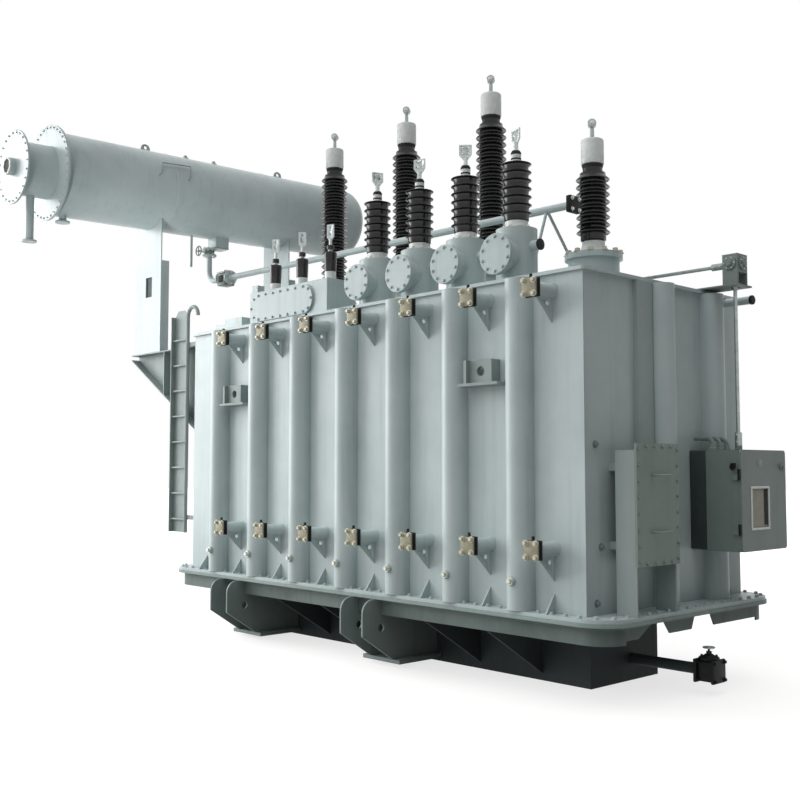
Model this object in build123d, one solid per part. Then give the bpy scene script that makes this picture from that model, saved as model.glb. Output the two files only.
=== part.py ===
from build123d import *
import os

# A three-winding power transformer with a bell tank and an on-load tap changer, in millimetres.
# +X runs along the tank to its drive end, -Y is the front, +Z is up, and the trough rests on z = 0.

# Tank
tank_length = 5500.0
tank_width = 2250.0
wall_height = 2620.0
wall_plate = 10.0
wall_foot_z = 690.0
cover_plate = 30.0
cover_overhang = 30.0
cover_corner = 40.0
hatch_gap = 155.0
hatch_y = -1060.0
hatch_length = 520.0
hatch_width = 300.0
hatch_frame = 70.0
hatch_lid = 45.0
hatch_lid_inset = 190.0

# Base
flange_plate = 30.0
flange_overhang = 130.0
flange_end_overhang = 295.0
flange_corner = 300.0
flange_step = 10.0
trough_end_inset = 450.0
trough_width = 960.0
trough_plate = 16.0
skirt_plate = 12.0
skirt_inset = 65.0
skirt_drop = 140.0
end_skirt_drop = 110.0
skirt_gap_tops = ((-600.0, -466.0), (-14.0, 213.0))
skirt_gap_feet = ((-800.0, -375.0), (-65.0, 275.0))
web_plate = 16.0
web_foot_z = 60.0
web_bay_shares = (-1.5, -0.5, 1.5, 2.5)

# Pulling lugs under the base flange, each a pair of eye plates on a jacking pad
lug_plate = 20.0
lug_spread = 300.0
lug_reach = 275.0
lug_nose_radius = 120.0
lug_nose_foot_z = 310.0
lug_pad_z = 75.0
lug_pad_reach = 85.0
lug_pad_width = 500.0
lug_pad_depth = 530.0
lug_pad_plate = 35.0
eye_radius = 35.0
eye_inset = 55.0
eye_z = 370.0
lug_bay_shares = (-2.5, 0.5)

# Wall stiffeners, pressed channels with a half-round nose
rib_count = 7
rib_pitch = 715.0
rib_width = 230.0
rib_depth = 150.0
rib_plate = 8.0
end_rib_places = (-130.0, 640.0)
end_stub_y = 900.0
end_stub_radius = 36.0
end_stub_reach = 280.0
end_stub_drop = 45.0
gusset_rise = 150.0
gusset_plate = 12.0

# Blanked radiator valves
valve_reach = 300.0
valve_spacing = 2000.0
valve_low_z = 1180.0
valve_square = 190.0
valve_plate = 22.0
valve_bore_radius = 55.0
valve_body = 120.0
valve_body_length = 62.0
valve_nub_radius = 14.0
valve_nub_height = 34.0
stub_gusset_reach = 156.0
stub_gusset_drop = 260.0
stub_gusset_plate = 10.0

# Lifting lugs on the walls
lift_drop = 840.0
lift_shelf_length = 440.0
lift_shelf_depth = 150.0
lift_shelf_plate = 25.0
lift_cheek_height = 190.0
lift_cheek_width = 240.0
lift_cheek_plate = 30.0
lift_eye_radius = 40.0
lift_bay_shares = (-2.5, 2.5)

# Medium-voltage bushings and their turrets
mv_count = 4
mv_first_x = 30.0
mv_pitch = 595.0
mv_y = -800.0
mv_turret_radius = 177.0
mv_turret_height = 480.0
mv_branch_radius = 140.0
mv_cover_radius = 174.0
mv_cover_plate = 24.0
mv_cover_reach = 280.0
mv_boss_radius = 45.0
mv_boss_reach = 75.0
mv_boss_rise = 320.0
mv_foot_height = 75.0
mv_foot_radius = 120.0
mv_foot_neck_radius = 92.0
mv_shed_count = 5
mv_shed_length = 500.0
mv_shed_radius = 133.0
mv_core_radius = 88.0
mv_neck_radius = 38.0
mv_neck_height = 130.0
mv_palm_height = 180.0
mv_palm_width = 90.0
mv_palm_plate = 18.0

# Low-voltage box and its bushings
lv_count = 3
lv_first_x = -1540.0
lv_pitch = 470.0
lv_y = -880.0
lv_box_left_x = -1755.0
lv_box_length = 1325.0
lv_box_depth = 360.0
lv_box_height = 350.0
lv_cover_length = 1080.0
lv_cover_height = 300.0
lv_cover_plate = 24.0
lv_cover_left_margin = 35.0
lv_block_length = 100.0
lv_block_width = 90.0
lv_block_height = 80.0
lv_block_inset = 15.0
lv_foot_radius = 78.0
lv_foot_height = 105.0
lv_insulator_radius = 54.0
lv_insulator_height = 200.0
lv_neck_radius = 24.0
lv_neck_height = 25.0
lv_cap_radius = 32.0
lv_cap_height = 45.0
lv_stem_radius = 16.0
lv_stem_height = 65.0
lv_palm_height = 150.0
lv_palm_width = 80.0
lv_palm_plate = 16.0

# High-voltage bushings, three phases and the neutral
hv_first_x = -1985.0
hv_pitch = 1262.0
hv_phase_count = 3
hv_y = 300.0
hv_turret_radius = 235.0
hv_turret_height = 370.0
hv_flange_radius = 265.0
hv_flange_plate = 55.0
hv_foot_height = 120.0
hv_foot_radius = 150.0
hv_foot_neck_radius = 98.0
hv_core_radius = 105.0
hv_bare_height = 75.0
hv_shed_radius = 158.0
hv_phase_shed_length = 1345.0
hv_phase_shed_count = 9
hv_neutral_shed_length = 570.0
hv_neutral_shed_count = 5
hv_neck_radius = 92.0
hv_neck_height = 80.0
hv_cap_radius = 106.0
hv_cap_height = 240.0
hv_stud_radius = 20.0
hv_stud_height = 110.0
hv_palm_height = 90.0
hv_palm_width = 70.0
hv_palm_plate = 20.0

# Conservator across the left end, which rises to the rear
conservator_standoff = 1340.0
conservator_height = 1930.0
conservator_radius = 490.0
conservator_plate = 8.0
conservator_rise_share = 0.023
conservator_front_y = -2340.0
conservator_length = 4360.0
conservator_dish = 210.0
dish_shares = ((1, 0), (0.985, 0.3), (0.91, 0.6), (0.75, 0.82), (0.43, 0.96), (0, 1))
conservator_flange_radius = 560.0
conservator_flange_plate = 30.0
chamber_radius = 310.0
chamber_length = 388.0
chamber_flange_radius = 425.0
chamber_flange_plate = 22.0
chamber_plate = 8.0
gauge_radius = 100.0
gauge_depth = 60.0
chamber_pipe_radius = 48.0
chamber_pipe_offset = 200.0
chamber_pipe_drop = 518.0
pipe_flange_radius = 85.0
pipe_flange_plate = 20.0
stub_radius = 45.0
stub_drop = 60.0
breather_radius = 16.0
breather_drop = 410.0
breather_y = -380.0

# Conservator supports on the left end wall
support_y = 980.0
post_width = 585.0
post_plate = 14.0
post_flange = 100.0
post_flange_rise = 1040.0
post_foot_drop = 110.0
post_slot_width = 150.0
post_slot_height = 250.0
post_slot_rise = 730.0
bracket_width = 120.0
bracket_plate = 16.0
bracket_nose = 40.0
bracket_drop = 1160.0
bracket_reach = 1650.0
bracket_stay_reach = 860.0

# Gas pipe from the conservator along the cover
sump_y = 30.0
sump_length = 200.0
sump_width = 200.0
sump_drop = 140.0
gas_pipe_y = -100.0
gas_pipe_radius = 36.0
gas_pipe_end_offset = 59.0
gas_pipe_rise = 815.0
gas_pipe_fall_share = 0.016
gas_drop_offset = 10.0
gas_elbow_radius = 150.0
gas_valve_radius = 95.0
gas_valve_height = 105.0
relay_offset = 390.0
relay_length = 230.0
relay_width = 170.0
relay_height = 220.0
relay_flange_radius = 95.0
relay_flange_plate = 22.0
end_flange_radius = 68.0
end_flange_plate = 45.0
brace_offset = 221.0
brace_front_y = -400.0
brace_rear_inset = 64.0
brace_radius = 14.0

# Ladder at the front left corner
ladder_y = -1075.0
ladder_reach = 580.0
ladder_rail_reach = 250.0
ladder_foot_z = 1060.0
ladder_height = 2510.0
ladder_rail_width = 60.0
ladder_rail_plate = 14.0
ladder_tube_radius = 22.0
ladder_sheet = 4.0
ladder_sheet_width = 280.0
ladder_sheet_height = 2605.0
ladder_sheet_corner = 70.0
rung_radius = 12.0
rung_pitch = 300.0
ladder_hook_radius = 108.0
ladder_bracket_height = 50.0
ladder_bracket_shares = (0.06, 0.86)

# Terminal box on the drive end wall
terminal_y = -620.0
terminal_width = 530.0
terminal_foot_z = 1078.0
terminal_height = 857.0
terminal_standoff = 100.0
terminal_depth = 185.0
terminal_cover_plate = 22.0
terminal_cover_margin = 18.0
terminal_cover_rise = 51.0
terminal_cheek_plate = 12.0
terminal_arm_width = 60.0
terminal_arm_shares = (0.15, 0.85)
trunk_y = -470.0
trunk_width = 215.0
trunk_depth = 40.0

# Motor drive cabinet, door and hinges
cabinet_standoff = 160.0
cabinet_y = 310.0
cabinet_width = 745.0
cabinet_depth = 293.0
cabinet_foot_z = 1118.0
cabinet_height = 832.0
cabinet_plate = 5.0
cabinet_corner = 30.0
cabinet_cheek_plate = 10.0
cabinet_cheek_inset = 30.0
latch_inset = 230.0
latch_rise = 672.0
latch_length = 45.0
latch_height = 40.0
latch_reach = 18.0
door_plate = 26.0
door_gap = 1.5
window_width = 265.0
window_height = 320.0
window_centre_share = 0.40
window_foot_share = 0.23
window_pane = 8.0
hinge_radius = 11.0
hinge_pin_radius = 5.0
hinge_clearance = 0.3
hinge_offset = 13.0
hinge_height = 90.0
hinge_leaf = 5.0
hinge_shares = (0.165, 0.70)
handle_length = 60.0
handle_width = 24.0
handle_reach = 15.0
handle_inset = 50.0
handle_level_share = 0.80

# Drive shafts between the cabinet, the bevel gear box and the tap changer head
shaft_radius = 16.0
coupling_radius = 30.0
coupling_length = 110.0
seat_gap = 0.3
drive_reach = 290.0
drive_y = 620.0
drive_rise = 200.0
gear_box_length = 140.0
gear_box_width = 165.0
gear_box_height = 160.0
gear_boss_radius = 34.0
gear_boss_length = 30.0
shelf_plate = 14.0
shelf_width = 240.0
shelf_inboard = 260.0
shelf_outboard = 90.0
shelf_hole_clearance = 14.0
pedestal_plate = 14.0
cabinet_boss_height = 40.0
head_radius = 240.0
head_height = 150.0
head_flange_radius = 262.0
head_flange_plate = 30.0
head_gear_size = 150.0
head_gear_rise = 60.0

# Drain valve at the drive end of the trough
drain_y = 85.0
drain_z = 185.0
drain_pipe_radius = 45.0
drain_reach = 290.0
drain_body_length = 185.0
drain_flange_width = 190.0
drain_flange_height = 185.0
drain_flange_plate = 28.0
drain_body_width = 150.0
drain_bonnet_radius = 82.0
drain_bonnet_height = 46.0
drain_gland_radius = 22.0
drain_gland_height = 22.0
drain_stem_radius = 9.0
wheel_radius = 50.0
wheel_rim_width = 12.0
wheel_rim_height = 10.0
wheel_hub_radius = 16.0
wheel_hub_height = 20.0
wheel_spoke_radius = 4.5
wheel_spoke_count = 4
wheel_rise = 10.0

# The share of a shed's pitch that its drip side takes
drip_share = 0.25

# One overrun for every cut
overrun = 5.0

# Levels and faces that the pieces share
wall_top_z = wall_foot_z + wall_height
cover_top_z = wall_top_z + cover_plate
base_flange_top_z = wall_foot_z - flange_plate
base_flange_foot_z = base_flange_top_z - flange_plate
end_x = tank_length / 2
side_y = tank_width / 2
flange_end_x = end_x + flange_end_overhang
flange_side_y = side_y + flange_overhang
skirt_end_x = flange_end_x - skirt_inset
skirt_side_y = flange_side_y - skirt_inset
trough_end_x = end_x - trough_end_inset
trough_side_y = trough_width / 2
rib_first_x = -rib_pitch * (rib_count - 1) / 2
rib_places = [rib_first_x + rib_pitch * i for i in range(rib_count)]
bay_places = [x + rib_pitch / 2 for x in rib_places]
end_bay_x = (end_x + rib_places[-1]) / 2
lug_places = [rib_pitch * share for share in lug_bay_shares]
lift_places = [rib_pitch * share for share in lift_bay_shares]
web_places = [rib_pitch * share for share in web_bay_shares]
mv_places = [mv_first_x + mv_pitch * i for i in range(mv_count)]
lv_places = [lv_first_x + lv_pitch * i for i in range(lv_count)]
hv_places = [hv_first_x + hv_pitch * i for i in range(hv_phase_count + 1)]
hatch_x = lv_box_left_x - hatch_gap - hatch_length
lift_z = wall_top_z - lift_drop
conservator_x = -end_x - conservator_standoff
conservator_z = cover_top_z + conservator_height
post_flange_top_z = cover_top_z + post_flange_rise
post_foot_z = cover_top_z - post_foot_drop
post_slot_z = cover_top_z + post_slot_rise
bracket_wall_z = cover_top_z - bracket_drop
bracket_stay_x = -end_x - bracket_stay_reach
gas_pipe_end_z = cover_top_z + gas_pipe_rise
gas_drop_x = conservator_x - gas_drop_offset
relay_x = conservator_x + relay_offset
ladder_left_x = -end_x - ladder_reach
ladder_rail_x = -end_x - ladder_rail_reach
cabinet_x = end_x + cabinet_standoff
latch_x = cabinet_x + latch_inset
latch_z = cabinet_foot_z + latch_rise
drive_x = end_x + drive_reach
drive_z = cover_top_z + drive_rise
drain_valve_x = end_x + drain_reach
head_x = (hv_places[-2] + hv_places[-1]) / 2
brace_x = hv_places[-1] - brace_offset
brace_rear_y = hv_y - brace_rear_inset
gas_pipe_end_x = hv_places[-1] + gas_pipe_end_offset
chamber_pipe_y = conservator_front_y - chamber_pipe_offset
ON_BASE = (Align.CENTER, Align.CENTER, Align.MIN)


def block(x0, x1, y0, y1, z0, z1):
    """A box between two corners."""
    return Pos((x0 + x1) / 2, (y0 + y1) / 2, (z0 + z1) / 2) * Box(x1 - x0, y1 - y0, z1 - z0)


def upright(x, y, z, radius, height):
    """A standing cylinder on the level z."""
    return Pos(x, y, z) * Cylinder(radius, height, align=ON_BASE)


def rod(start, end, radius):
    """A round bar between two points."""
    run = Vector(*end) - Vector(*start)
    return Plane(origin=start, z_dir=run) * Cylinder(radius, run.length, align=ON_BASE)


def plate_along_x(outline, x, thickness):
    """A plate of the (y, z) outline, centred on x."""
    face = Plane.YZ * make_face(Polyline(*outline, close=True))
    return Pos(x - thickness / 2, 0, 0) * extrude(face, thickness)


def plate_along_y(outline, y, thickness):
    """A plate of the (x, z) outline, centred on y."""
    face = Plane.XZ * make_face(Polyline(*outline, close=True))
    return Pos(0, y + thickness / 2, 0) * extrude(face, thickness)


def turned(outline, x, y, z):
    """A solid turned from the (radius, height) outline about a standing axis."""
    face = Plane.XZ * make_face(Polyline(*outline, close=True))
    return Pos(x, y, z) * revolve(face, Axis.Z)


def to_rear(solids):
    """The same solids mirrored to the rear side of the tank."""
    return [mirror(solid, Plane.XZ) for solid in solids]


def save(name, solids):
    """Write one node as its separate solids."""
    pieces = [piece for solid in solids for piece in solid.solids()]
    export_step(Compound(children=pieces), f"parts/{name}.step")


def base_trough():
    """The open-topped trough under the core, which stands on the ground."""
    outer = block(-trough_end_x, trough_end_x, -trough_side_y, trough_side_y, 0, base_flange_foot_z)
    inner_end_x = trough_end_x - trough_plate
    inner_side_y = trough_side_y - trough_plate
    top_z = base_flange_foot_z + overrun
    return [outer - block(-inner_end_x, inner_end_x, -inner_side_y, inner_side_y, trough_plate, top_z)]


def base_tray():
    """The base flange plate over the trough, with its skirt and the gaps in the skirt's ends."""
    plate = extrude(RectangleRounded(2 * flange_end_x, 2 * flange_side_y, flange_corner), flange_plate)
    mouth_x = trough_end_x - trough_plate
    mouth_y = trough_side_y - trough_plate
    mouth_z0 = base_flange_foot_z - overrun
    mouth = block(-mouth_x, mouth_x, -mouth_y, mouth_y, mouth_z0, base_flange_top_z + overrun)
    plate = Pos(0, 0, base_flange_foot_z) * plate - mouth
    corner = flange_corner - skirt_inset
    ring = RectangleRounded(2 * skirt_end_x, 2 * skirt_side_y, corner)
    inner_length = 2 * (skirt_end_x - skirt_plate)
    inner_width = 2 * (skirt_side_y - skirt_plate)
    ring -= RectangleRounded(inner_length, inner_width, corner - skirt_plate)
    skirt_foot_z = base_flange_foot_z - skirt_drop
    skirt = Pos(0, 0, skirt_foot_z) * extrude(ring, skirt_drop)
    end_foot_z = base_flange_foot_z - end_skirt_drop
    straight_y = skirt_side_y - corner
    cut_length = 2 * (skirt_end_x + overrun)
    cut_x = cut_length / 2
    skirt -= block(-cut_x, cut_x, -straight_y, straight_y, skirt_foot_z - overrun, end_foot_z)
    for top_edge, foot_edge in zip(skirt_gap_tops, skirt_gap_feet):
        outline = [(y, base_flange_foot_z) for y in top_edge]
        outline += [(y, end_foot_z) for y in reversed(foot_edge)]
        skirt -= plate_along_x(outline, 0, cut_length)
    return [plate + skirt]


def base_webs():
    """Sloping cross webs between the trough and the skirt, on both sides."""
    outline = [
        (-trough_side_y, web_foot_z),
        (-trough_side_y, base_flange_foot_z),
        (-(skirt_side_y - skirt_plate), base_flange_foot_z),
        (-(skirt_side_y - skirt_plate), base_flange_foot_z - skirt_drop),
    ]
    front = [plate_along_x(outline, x, web_plate) for x in web_places]
    return front + to_rear(front)


def pulling_lug_pair(x):
    """Two eye plates that pass under the flange, joined by a jacking pad."""
    nose_y = -(flange_side_y + lug_reach - flange_overhang)
    top_z = base_flange_foot_z
    pad_y = -(side_y - lug_pad_reach)
    outline = [
        (-trough_side_y, top_z),
        (nose_y, top_z),
        (nose_y, lug_nose_foot_z),
        (pad_y, lug_pad_z),
        (-trough_side_y, lug_pad_z),
    ]
    profile = Plane.YZ * make_face(Polyline(*outline, close=True))
    corner = profile.vertices().sort_by(Axis.Y)[0:2].sort_by(Axis.Z)[-1]
    profile = fillet(corner, lug_nose_radius)
    plate = extrude(profile, lug_plate)
    slot_y1 = -(skirt_side_y - skirt_plate)
    slot_foot_z = base_flange_foot_z - skirt_drop
    slot_top_z = base_flange_foot_z + overrun
    plate -= block(-overrun, lug_plate + overrun, -skirt_side_y, slot_y1, slot_foot_z, slot_top_z)
    eye_y = -(side_y + eye_inset)
    plate -= rod((-overrun, eye_y, eye_z), (lug_plate + overrun, eye_y, eye_z), eye_radius)
    left = Pos(x - lug_spread / 2 - lug_plate / 2, 0, 0) * plate
    right = Pos(x + lug_spread / 2 - lug_plate / 2, 0, 0) * plate
    pad_foot_z = lug_pad_z - lug_pad_plate
    pad_x0 = x - lug_pad_width / 2
    pad = block(pad_x0, pad_x0 + lug_pad_width, pad_y, pad_y + lug_pad_depth, pad_foot_z, lug_pad_z)
    return [left, right, pad]


def pulling_lugs():
    front = [solid for x in lug_places for solid in pulling_lug_pair(x)]
    return front + to_rear(front)


def tank_flange():
    """The bell's bottom flange, bolted down on the base flange."""
    outline = RectangleRounded(
        2 * (flange_end_x - flange_step), 2 * (flange_side_y - flange_step), flange_corner - flange_step
    )
    outline -= Rectangle(tank_length - 2 * wall_plate, tank_width - 2 * wall_plate)
    return [Pos(0, 0, base_flange_top_z) * extrude(outline, flange_plate)]


def long_wall():
    return [block(-end_x, end_x, -side_y, -side_y + wall_plate, wall_foot_z, wall_top_z)]


def end_wall(side):
    inner_x = side * (end_x - wall_plate)
    outer_x = side * end_x
    edge_y = side_y - wall_plate
    return [block(min(inner_x, outer_x), max(inner_x, outer_x), -edge_y, edge_y, wall_foot_z, wall_top_z)]


def drive_end_wall():
    """The drive end wall with a closed stub pipe near its top."""
    wall = end_wall(1)[0]
    z = wall_top_z - end_stub_drop
    return [wall + rod((end_x, end_stub_y, z), (end_x + end_stub_reach, end_stub_y, z), end_stub_radius)]


def tank_cover():
    """The cover plate with the low stepped hatch at its left end."""
    outline = RectangleRounded(
        tank_length + 2 * cover_overhang, tank_width + 2 * cover_overhang, cover_corner
    )
    plate = Pos(0, 0, wall_top_z) * extrude(outline, cover_plate)
    hatch_x1 = hatch_x + hatch_length
    hatch_y1 = hatch_y + hatch_width
    frame_top_z = cover_top_z + hatch_frame
    hatch = block(hatch_x, hatch_x1, hatch_y, hatch_y1, cover_top_z, frame_top_z)
    lid_x = hatch_x + hatch_lid_inset
    hatch += block(lid_x, hatch_x1, hatch_y, hatch_y1, frame_top_z, frame_top_z + hatch_lid)
    return [plate, hatch]


def channel_face(width, depth):
    """A channel's plan outline with a half-round nose, its mouth on y = 0 and its nose towards -y."""
    half = width / 2
    shoulder = depth - half
    edges = [
        Line((-half, 0), (-half, -shoulder)),
        ThreePointArc((-half, -shoulder), (0, -depth), (half, -shoulder)),
        Line((half, -shoulder), (half, 0)),
        Line((half, 0), (-half, 0)),
    ]
    return make_face(edges)


def stiffener():
    outer = channel_face(rib_width, rib_depth)
    inner = channel_face(rib_width - 2 * rib_plate, rib_depth - rib_plate)
    return Pos(0, 0, wall_foot_z) * extrude(outer - inner, wall_height)


def front_stiffeners():
    rib = stiffener()
    return [Pos(x, -side_y, 0) * rib for x in rib_places]


def end_stiffeners():
    rib = stiffener()
    right = [Pos(end_x, y, 0) * Rot(0, 0, 90) * rib for y in end_rib_places]
    left = [Pos(-end_x, y, 0) * Rot(0, 0, -90) * rib for y in end_rib_places]
    return right + left


def flange_gussets():
    """Triangular gussets between the long walls and the bell's flange."""
    reach_y = -(flange_side_y - 2 * flange_step)
    outline = [(-side_y, wall_foot_z), (-side_y, wall_foot_z + gusset_rise), (reach_y, wall_foot_z)]
    places = [-end_bay_x] + bay_places[:-1] + [end_bay_x]
    front = [plate_along_x(outline, x, gusset_plate) for x in places]
    return front + to_rear(front)


def radiator_valve(x, z):
    """A stub pipe on a gusset, with a flanged valve body and a square blanking plate."""
    half = valve_square / 2
    face_y = -(side_y + valve_reach)
    blank_back_y = face_y + valve_plate
    body_back_y = blank_back_y + valve_body_length
    flange_back_y = body_back_y + valve_plate
    blank = block(x - half, x + half, face_y, blank_back_y, z - half, z + half)
    body_half = valve_body / 2
    body = block(x - body_half, x + body_half, blank_back_y, body_back_y, z - body_half, z + body_half)
    flange = block(x - half, x + half, body_back_y, flange_back_y, z - half, z + half)
    pipe = rod((x, flange_back_y, z), (x, -side_y, z), valve_bore_radius)
    nub = upright(x, (blank_back_y + body_back_y) / 2, z + body_half, valve_nub_radius, valve_nub_height)
    gusset_outline = [(-side_y, z), (-side_y - stub_gusset_reach, z), (-side_y, z - stub_gusset_drop)]
    gusset = plate_along_x(gusset_outline, x, stub_gusset_plate)
    return blank + body + flange + pipe + nub + gusset


def radiator_valves():
    places = bay_places[:-1] + [end_bay_x]
    levels = (valve_low_z, valve_low_z + valve_spacing)
    return [radiator_valve(x, z) for z in levels for x in places]


def lifting_lug(x):
    """A shelf with an upright eye plate and a cheek, welded between two stiffeners."""
    shelf_y = -(side_y + lift_shelf_depth)
    left_x = x - lift_shelf_length / 2
    shelf_top_z = lift_z + lift_shelf_plate
    shelf = block(left_x, left_x + lift_shelf_length, shelf_y, -side_y, lift_z, shelf_top_z)
    cheek_x = x - lift_cheek_width / 2
    cheek_top_z = shelf_top_z + lift_cheek_height
    cheek_y = -(side_y + lift_shelf_depth / 2)
    cheek_x1 = cheek_x + lift_cheek_width
    eye_plate = block(cheek_x, cheek_x1, cheek_y - lift_cheek_plate, cheek_y, shelf_top_z, cheek_top_z)
    eye_middle_z = shelf_top_z + lift_cheek_height / 2
    eye_start = (x, cheek_y - lift_cheek_plate - overrun, eye_middle_z)
    eye_plate -= rod(eye_start, (x, cheek_y + overrun, eye_middle_z), lift_eye_radius)
    cheek = block(cheek_x - lift_cheek_plate, cheek_x, shelf_y, -side_y, shelf_top_z, cheek_top_z)
    rib_x = x + lift_cheek_width / 2 - lift_cheek_plate
    back_rib = block(rib_x, rib_x + lift_cheek_plate, cheek_y, -side_y, shelf_top_z, cheek_top_z)
    return shelf + eye_plate + cheek + back_rib


def lifting_lugs():
    front = [lifting_lug(x) for x in lift_places]
    return front + to_rear(front)


def mv_turret(x):
    """A round turret with a round branch and flange to the front and a small boss on its side."""
    branch_z = cover_top_z + mv_turret_height / 2
    back_y = mv_y - mv_cover_reach + mv_cover_plate
    turret = upright(x, mv_y, cover_top_z, mv_turret_radius, mv_turret_height)
    turret += rod((x, mv_y, branch_z), (x, back_y, branch_z), mv_branch_radius)
    boss_z = cover_top_z + mv_boss_rise
    turret += rod((x, mv_y, boss_z), (x + mv_turret_radius + mv_boss_reach, mv_y, boss_z), mv_boss_radius)
    return turret + rod((x, back_y + mv_cover_plate, branch_z), (x, back_y, branch_z), mv_cover_radius)


def mv_turret_cover(x):
    branch_z = cover_top_z + mv_turret_height / 2
    face_y = mv_y - mv_cover_reach
    return rod((x, face_y + mv_cover_plate, branch_z), (x, face_y, branch_z), mv_cover_radius)


def sheds(count, length, core, tip, foot_z):
    """The (radius, height) points of a column of sheds, drip side down, from the foot up."""
    pitch = length / count
    points = []
    for i in range(count):
        points += [(core, foot_z + pitch * i), (tip, foot_z + pitch * (i + drip_share))]
    return points + [(core, foot_z + length)]


def mv_insulator(x):
    """A light foot, then the shedded porcelain, on one turned outline."""
    outline = [(0, 0), (mv_foot_radius, 0), (mv_foot_neck_radius, mv_foot_height)]
    outline += sheds(mv_shed_count, mv_shed_length, mv_core_radius, mv_shed_radius, mv_foot_height)
    outline += [(0, mv_foot_height + mv_shed_length)]
    return turned(outline, x, mv_y, cover_top_z + mv_turret_height)


def mv_terminal(x):
    """The neck and flat palm of a bushing's terminal."""
    foot_z = cover_top_z + mv_turret_height + mv_foot_height + mv_shed_length
    neck = upright(x, mv_y, foot_z, mv_neck_radius, mv_neck_height)
    palm_z = foot_z + mv_neck_height
    half = mv_palm_width / 2
    half_plate = mv_palm_plate / 2
    palm_top_z = palm_z + mv_palm_height
    return neck + block(x - half, x + half, mv_y - half_plate, mv_y + half_plate, palm_z, palm_top_z)


def lv_turret():
    """The low-voltage box with a small block at the left of its top."""
    front_y = lv_y - lv_box_depth / 2
    right_x = lv_box_left_x + lv_box_length
    top_z = cover_top_z + lv_box_height
    box = block(lv_box_left_x, right_x, front_y, front_y + lv_box_depth, cover_top_z, top_z)
    x0 = lv_box_left_x + lv_block_inset
    y0 = front_y + lv_block_inset
    return [box + block(x0, x0 + lv_block_length, y0, y0 + lv_block_width, top_z, top_z + lv_block_height)]


def lv_turret_cover():
    """The obround cover on the front of the low-voltage box."""
    middle_x = lv_box_left_x + lv_cover_left_margin + lv_cover_length / 2
    outline = SlotOverall(lv_cover_length, lv_cover_height)
    face = Plane.XZ * outline
    front_y = lv_y - lv_box_depth / 2
    return [Pos(middle_x, front_y, cover_top_z + lv_box_height / 2) * extrude(face, lv_cover_plate)]


def lv_bushing(x):
    """A smooth insulator on a foot, with a cap, a stem and a flat palm, on one turned outline."""
    foot_z = cover_top_z + lv_box_height
    outline = [(0, 0)]
    height = 0
    steps = [
        (lv_foot_radius, lv_foot_height),
        (lv_insulator_radius, lv_insulator_height),
        (lv_neck_radius, lv_neck_height),
        (lv_cap_radius, lv_cap_height),
        (lv_stem_radius, lv_stem_height),
    ]
    for radius, rise in steps:
        outline += [(radius, height), (radius, height + rise)]
        height += rise
    outline += [(0, height)]
    body = turned(outline, x, lv_y, foot_z)
    palm_z = foot_z + height
    half = lv_palm_width / 2
    half_plate = lv_palm_plate / 2
    palm_top_z = palm_z + lv_palm_height
    return body + block(x - half, x + half, lv_y - half_plate, lv_y + half_plate, palm_z, palm_top_z)


def hv_turret(x):
    """A turret with the flange that carries a high-voltage bushing."""
    body = upright(x, hv_y, cover_top_z, hv_turret_radius, hv_turret_height)
    return body + upright(x, hv_y, cover_top_z + hv_turret_height, hv_flange_radius, hv_flange_plate)


def hv_shed_size(i):
    """The shedded length and shed count of bushing i, the last of which is the neutral."""
    if i < hv_phase_count:
        return hv_phase_shed_length, hv_phase_shed_count
    return hv_neutral_shed_length, hv_neutral_shed_count


def hv_insulator(i):
    """A light foot, a bare barrel, the sheds and a neck, on one turned outline."""
    length, count = hv_shed_size(i)
    shed_z = hv_foot_height + hv_bare_height
    outline = [(0, 0), (hv_foot_radius, 0), (hv_foot_neck_radius, hv_foot_height)]
    outline += [(hv_core_radius, hv_foot_height)]
    outline += sheds(count, length, hv_core_radius, hv_shed_radius, shed_z)
    outline += [(hv_neck_radius, shed_z + length), (hv_neck_radius, shed_z + length + hv_neck_height)]
    outline += [(0, shed_z + length + hv_neck_height)]
    return turned(outline, hv_places[i], hv_y, cover_top_z + hv_turret_height + hv_flange_plate)


def hv_cap(i):
    """The metal head of a bushing with its stud and palm."""
    length, _ = hv_shed_size(i)
    foot_z = cover_top_z + hv_turret_height + hv_flange_plate
    foot_z += hv_foot_height + hv_bare_height + length + hv_neck_height
    x = hv_places[i]
    cap = upright(x, hv_y, foot_z, hv_cap_radius, hv_cap_height)
    cap += upright(x, hv_y, foot_z + hv_cap_height, hv_stud_radius, hv_stud_height)
    palm_z = foot_z + hv_cap_height + hv_stud_height
    half = hv_palm_width / 2
    half_plate = hv_palm_plate / 2
    palm_top_z = palm_z + hv_palm_height
    return cap + block(x - half, x + half, hv_y - half_plate, hv_y + half_plate, palm_z, palm_top_z)


def axis_z(y):
    """The level of the conservator's axis."""
    return conservator_z + (y - conservator_front_y) * conservator_rise_share


def across(y0, y1, radius):
    """A cylinder on the conservator's axis."""
    return rod((conservator_x, y0, axis_z(y0)), (conservator_x, y1, axis_z(y1)), radius)


def conservator_outline():
    """The main chamber as a full cylinder, to cut the pieces that seat on it."""
    start_y = conservator_front_y + conservator_flange_plate
    return across(start_y, start_y + conservator_length, conservator_radius)


def conservator_shell():
    start_y = conservator_front_y + conservator_flange_plate
    end_y = start_y + conservator_length
    inner = across(start_y - overrun, end_y + overrun, conservator_radius - conservator_plate)
    return [conservator_outline() - inner]


def conservator_front_end():
    """The bolted front end plate of the main chamber."""
    rear_y = conservator_front_y + conservator_flange_plate
    return [across(conservator_front_y, rear_y, conservator_flange_radius)]


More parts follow.
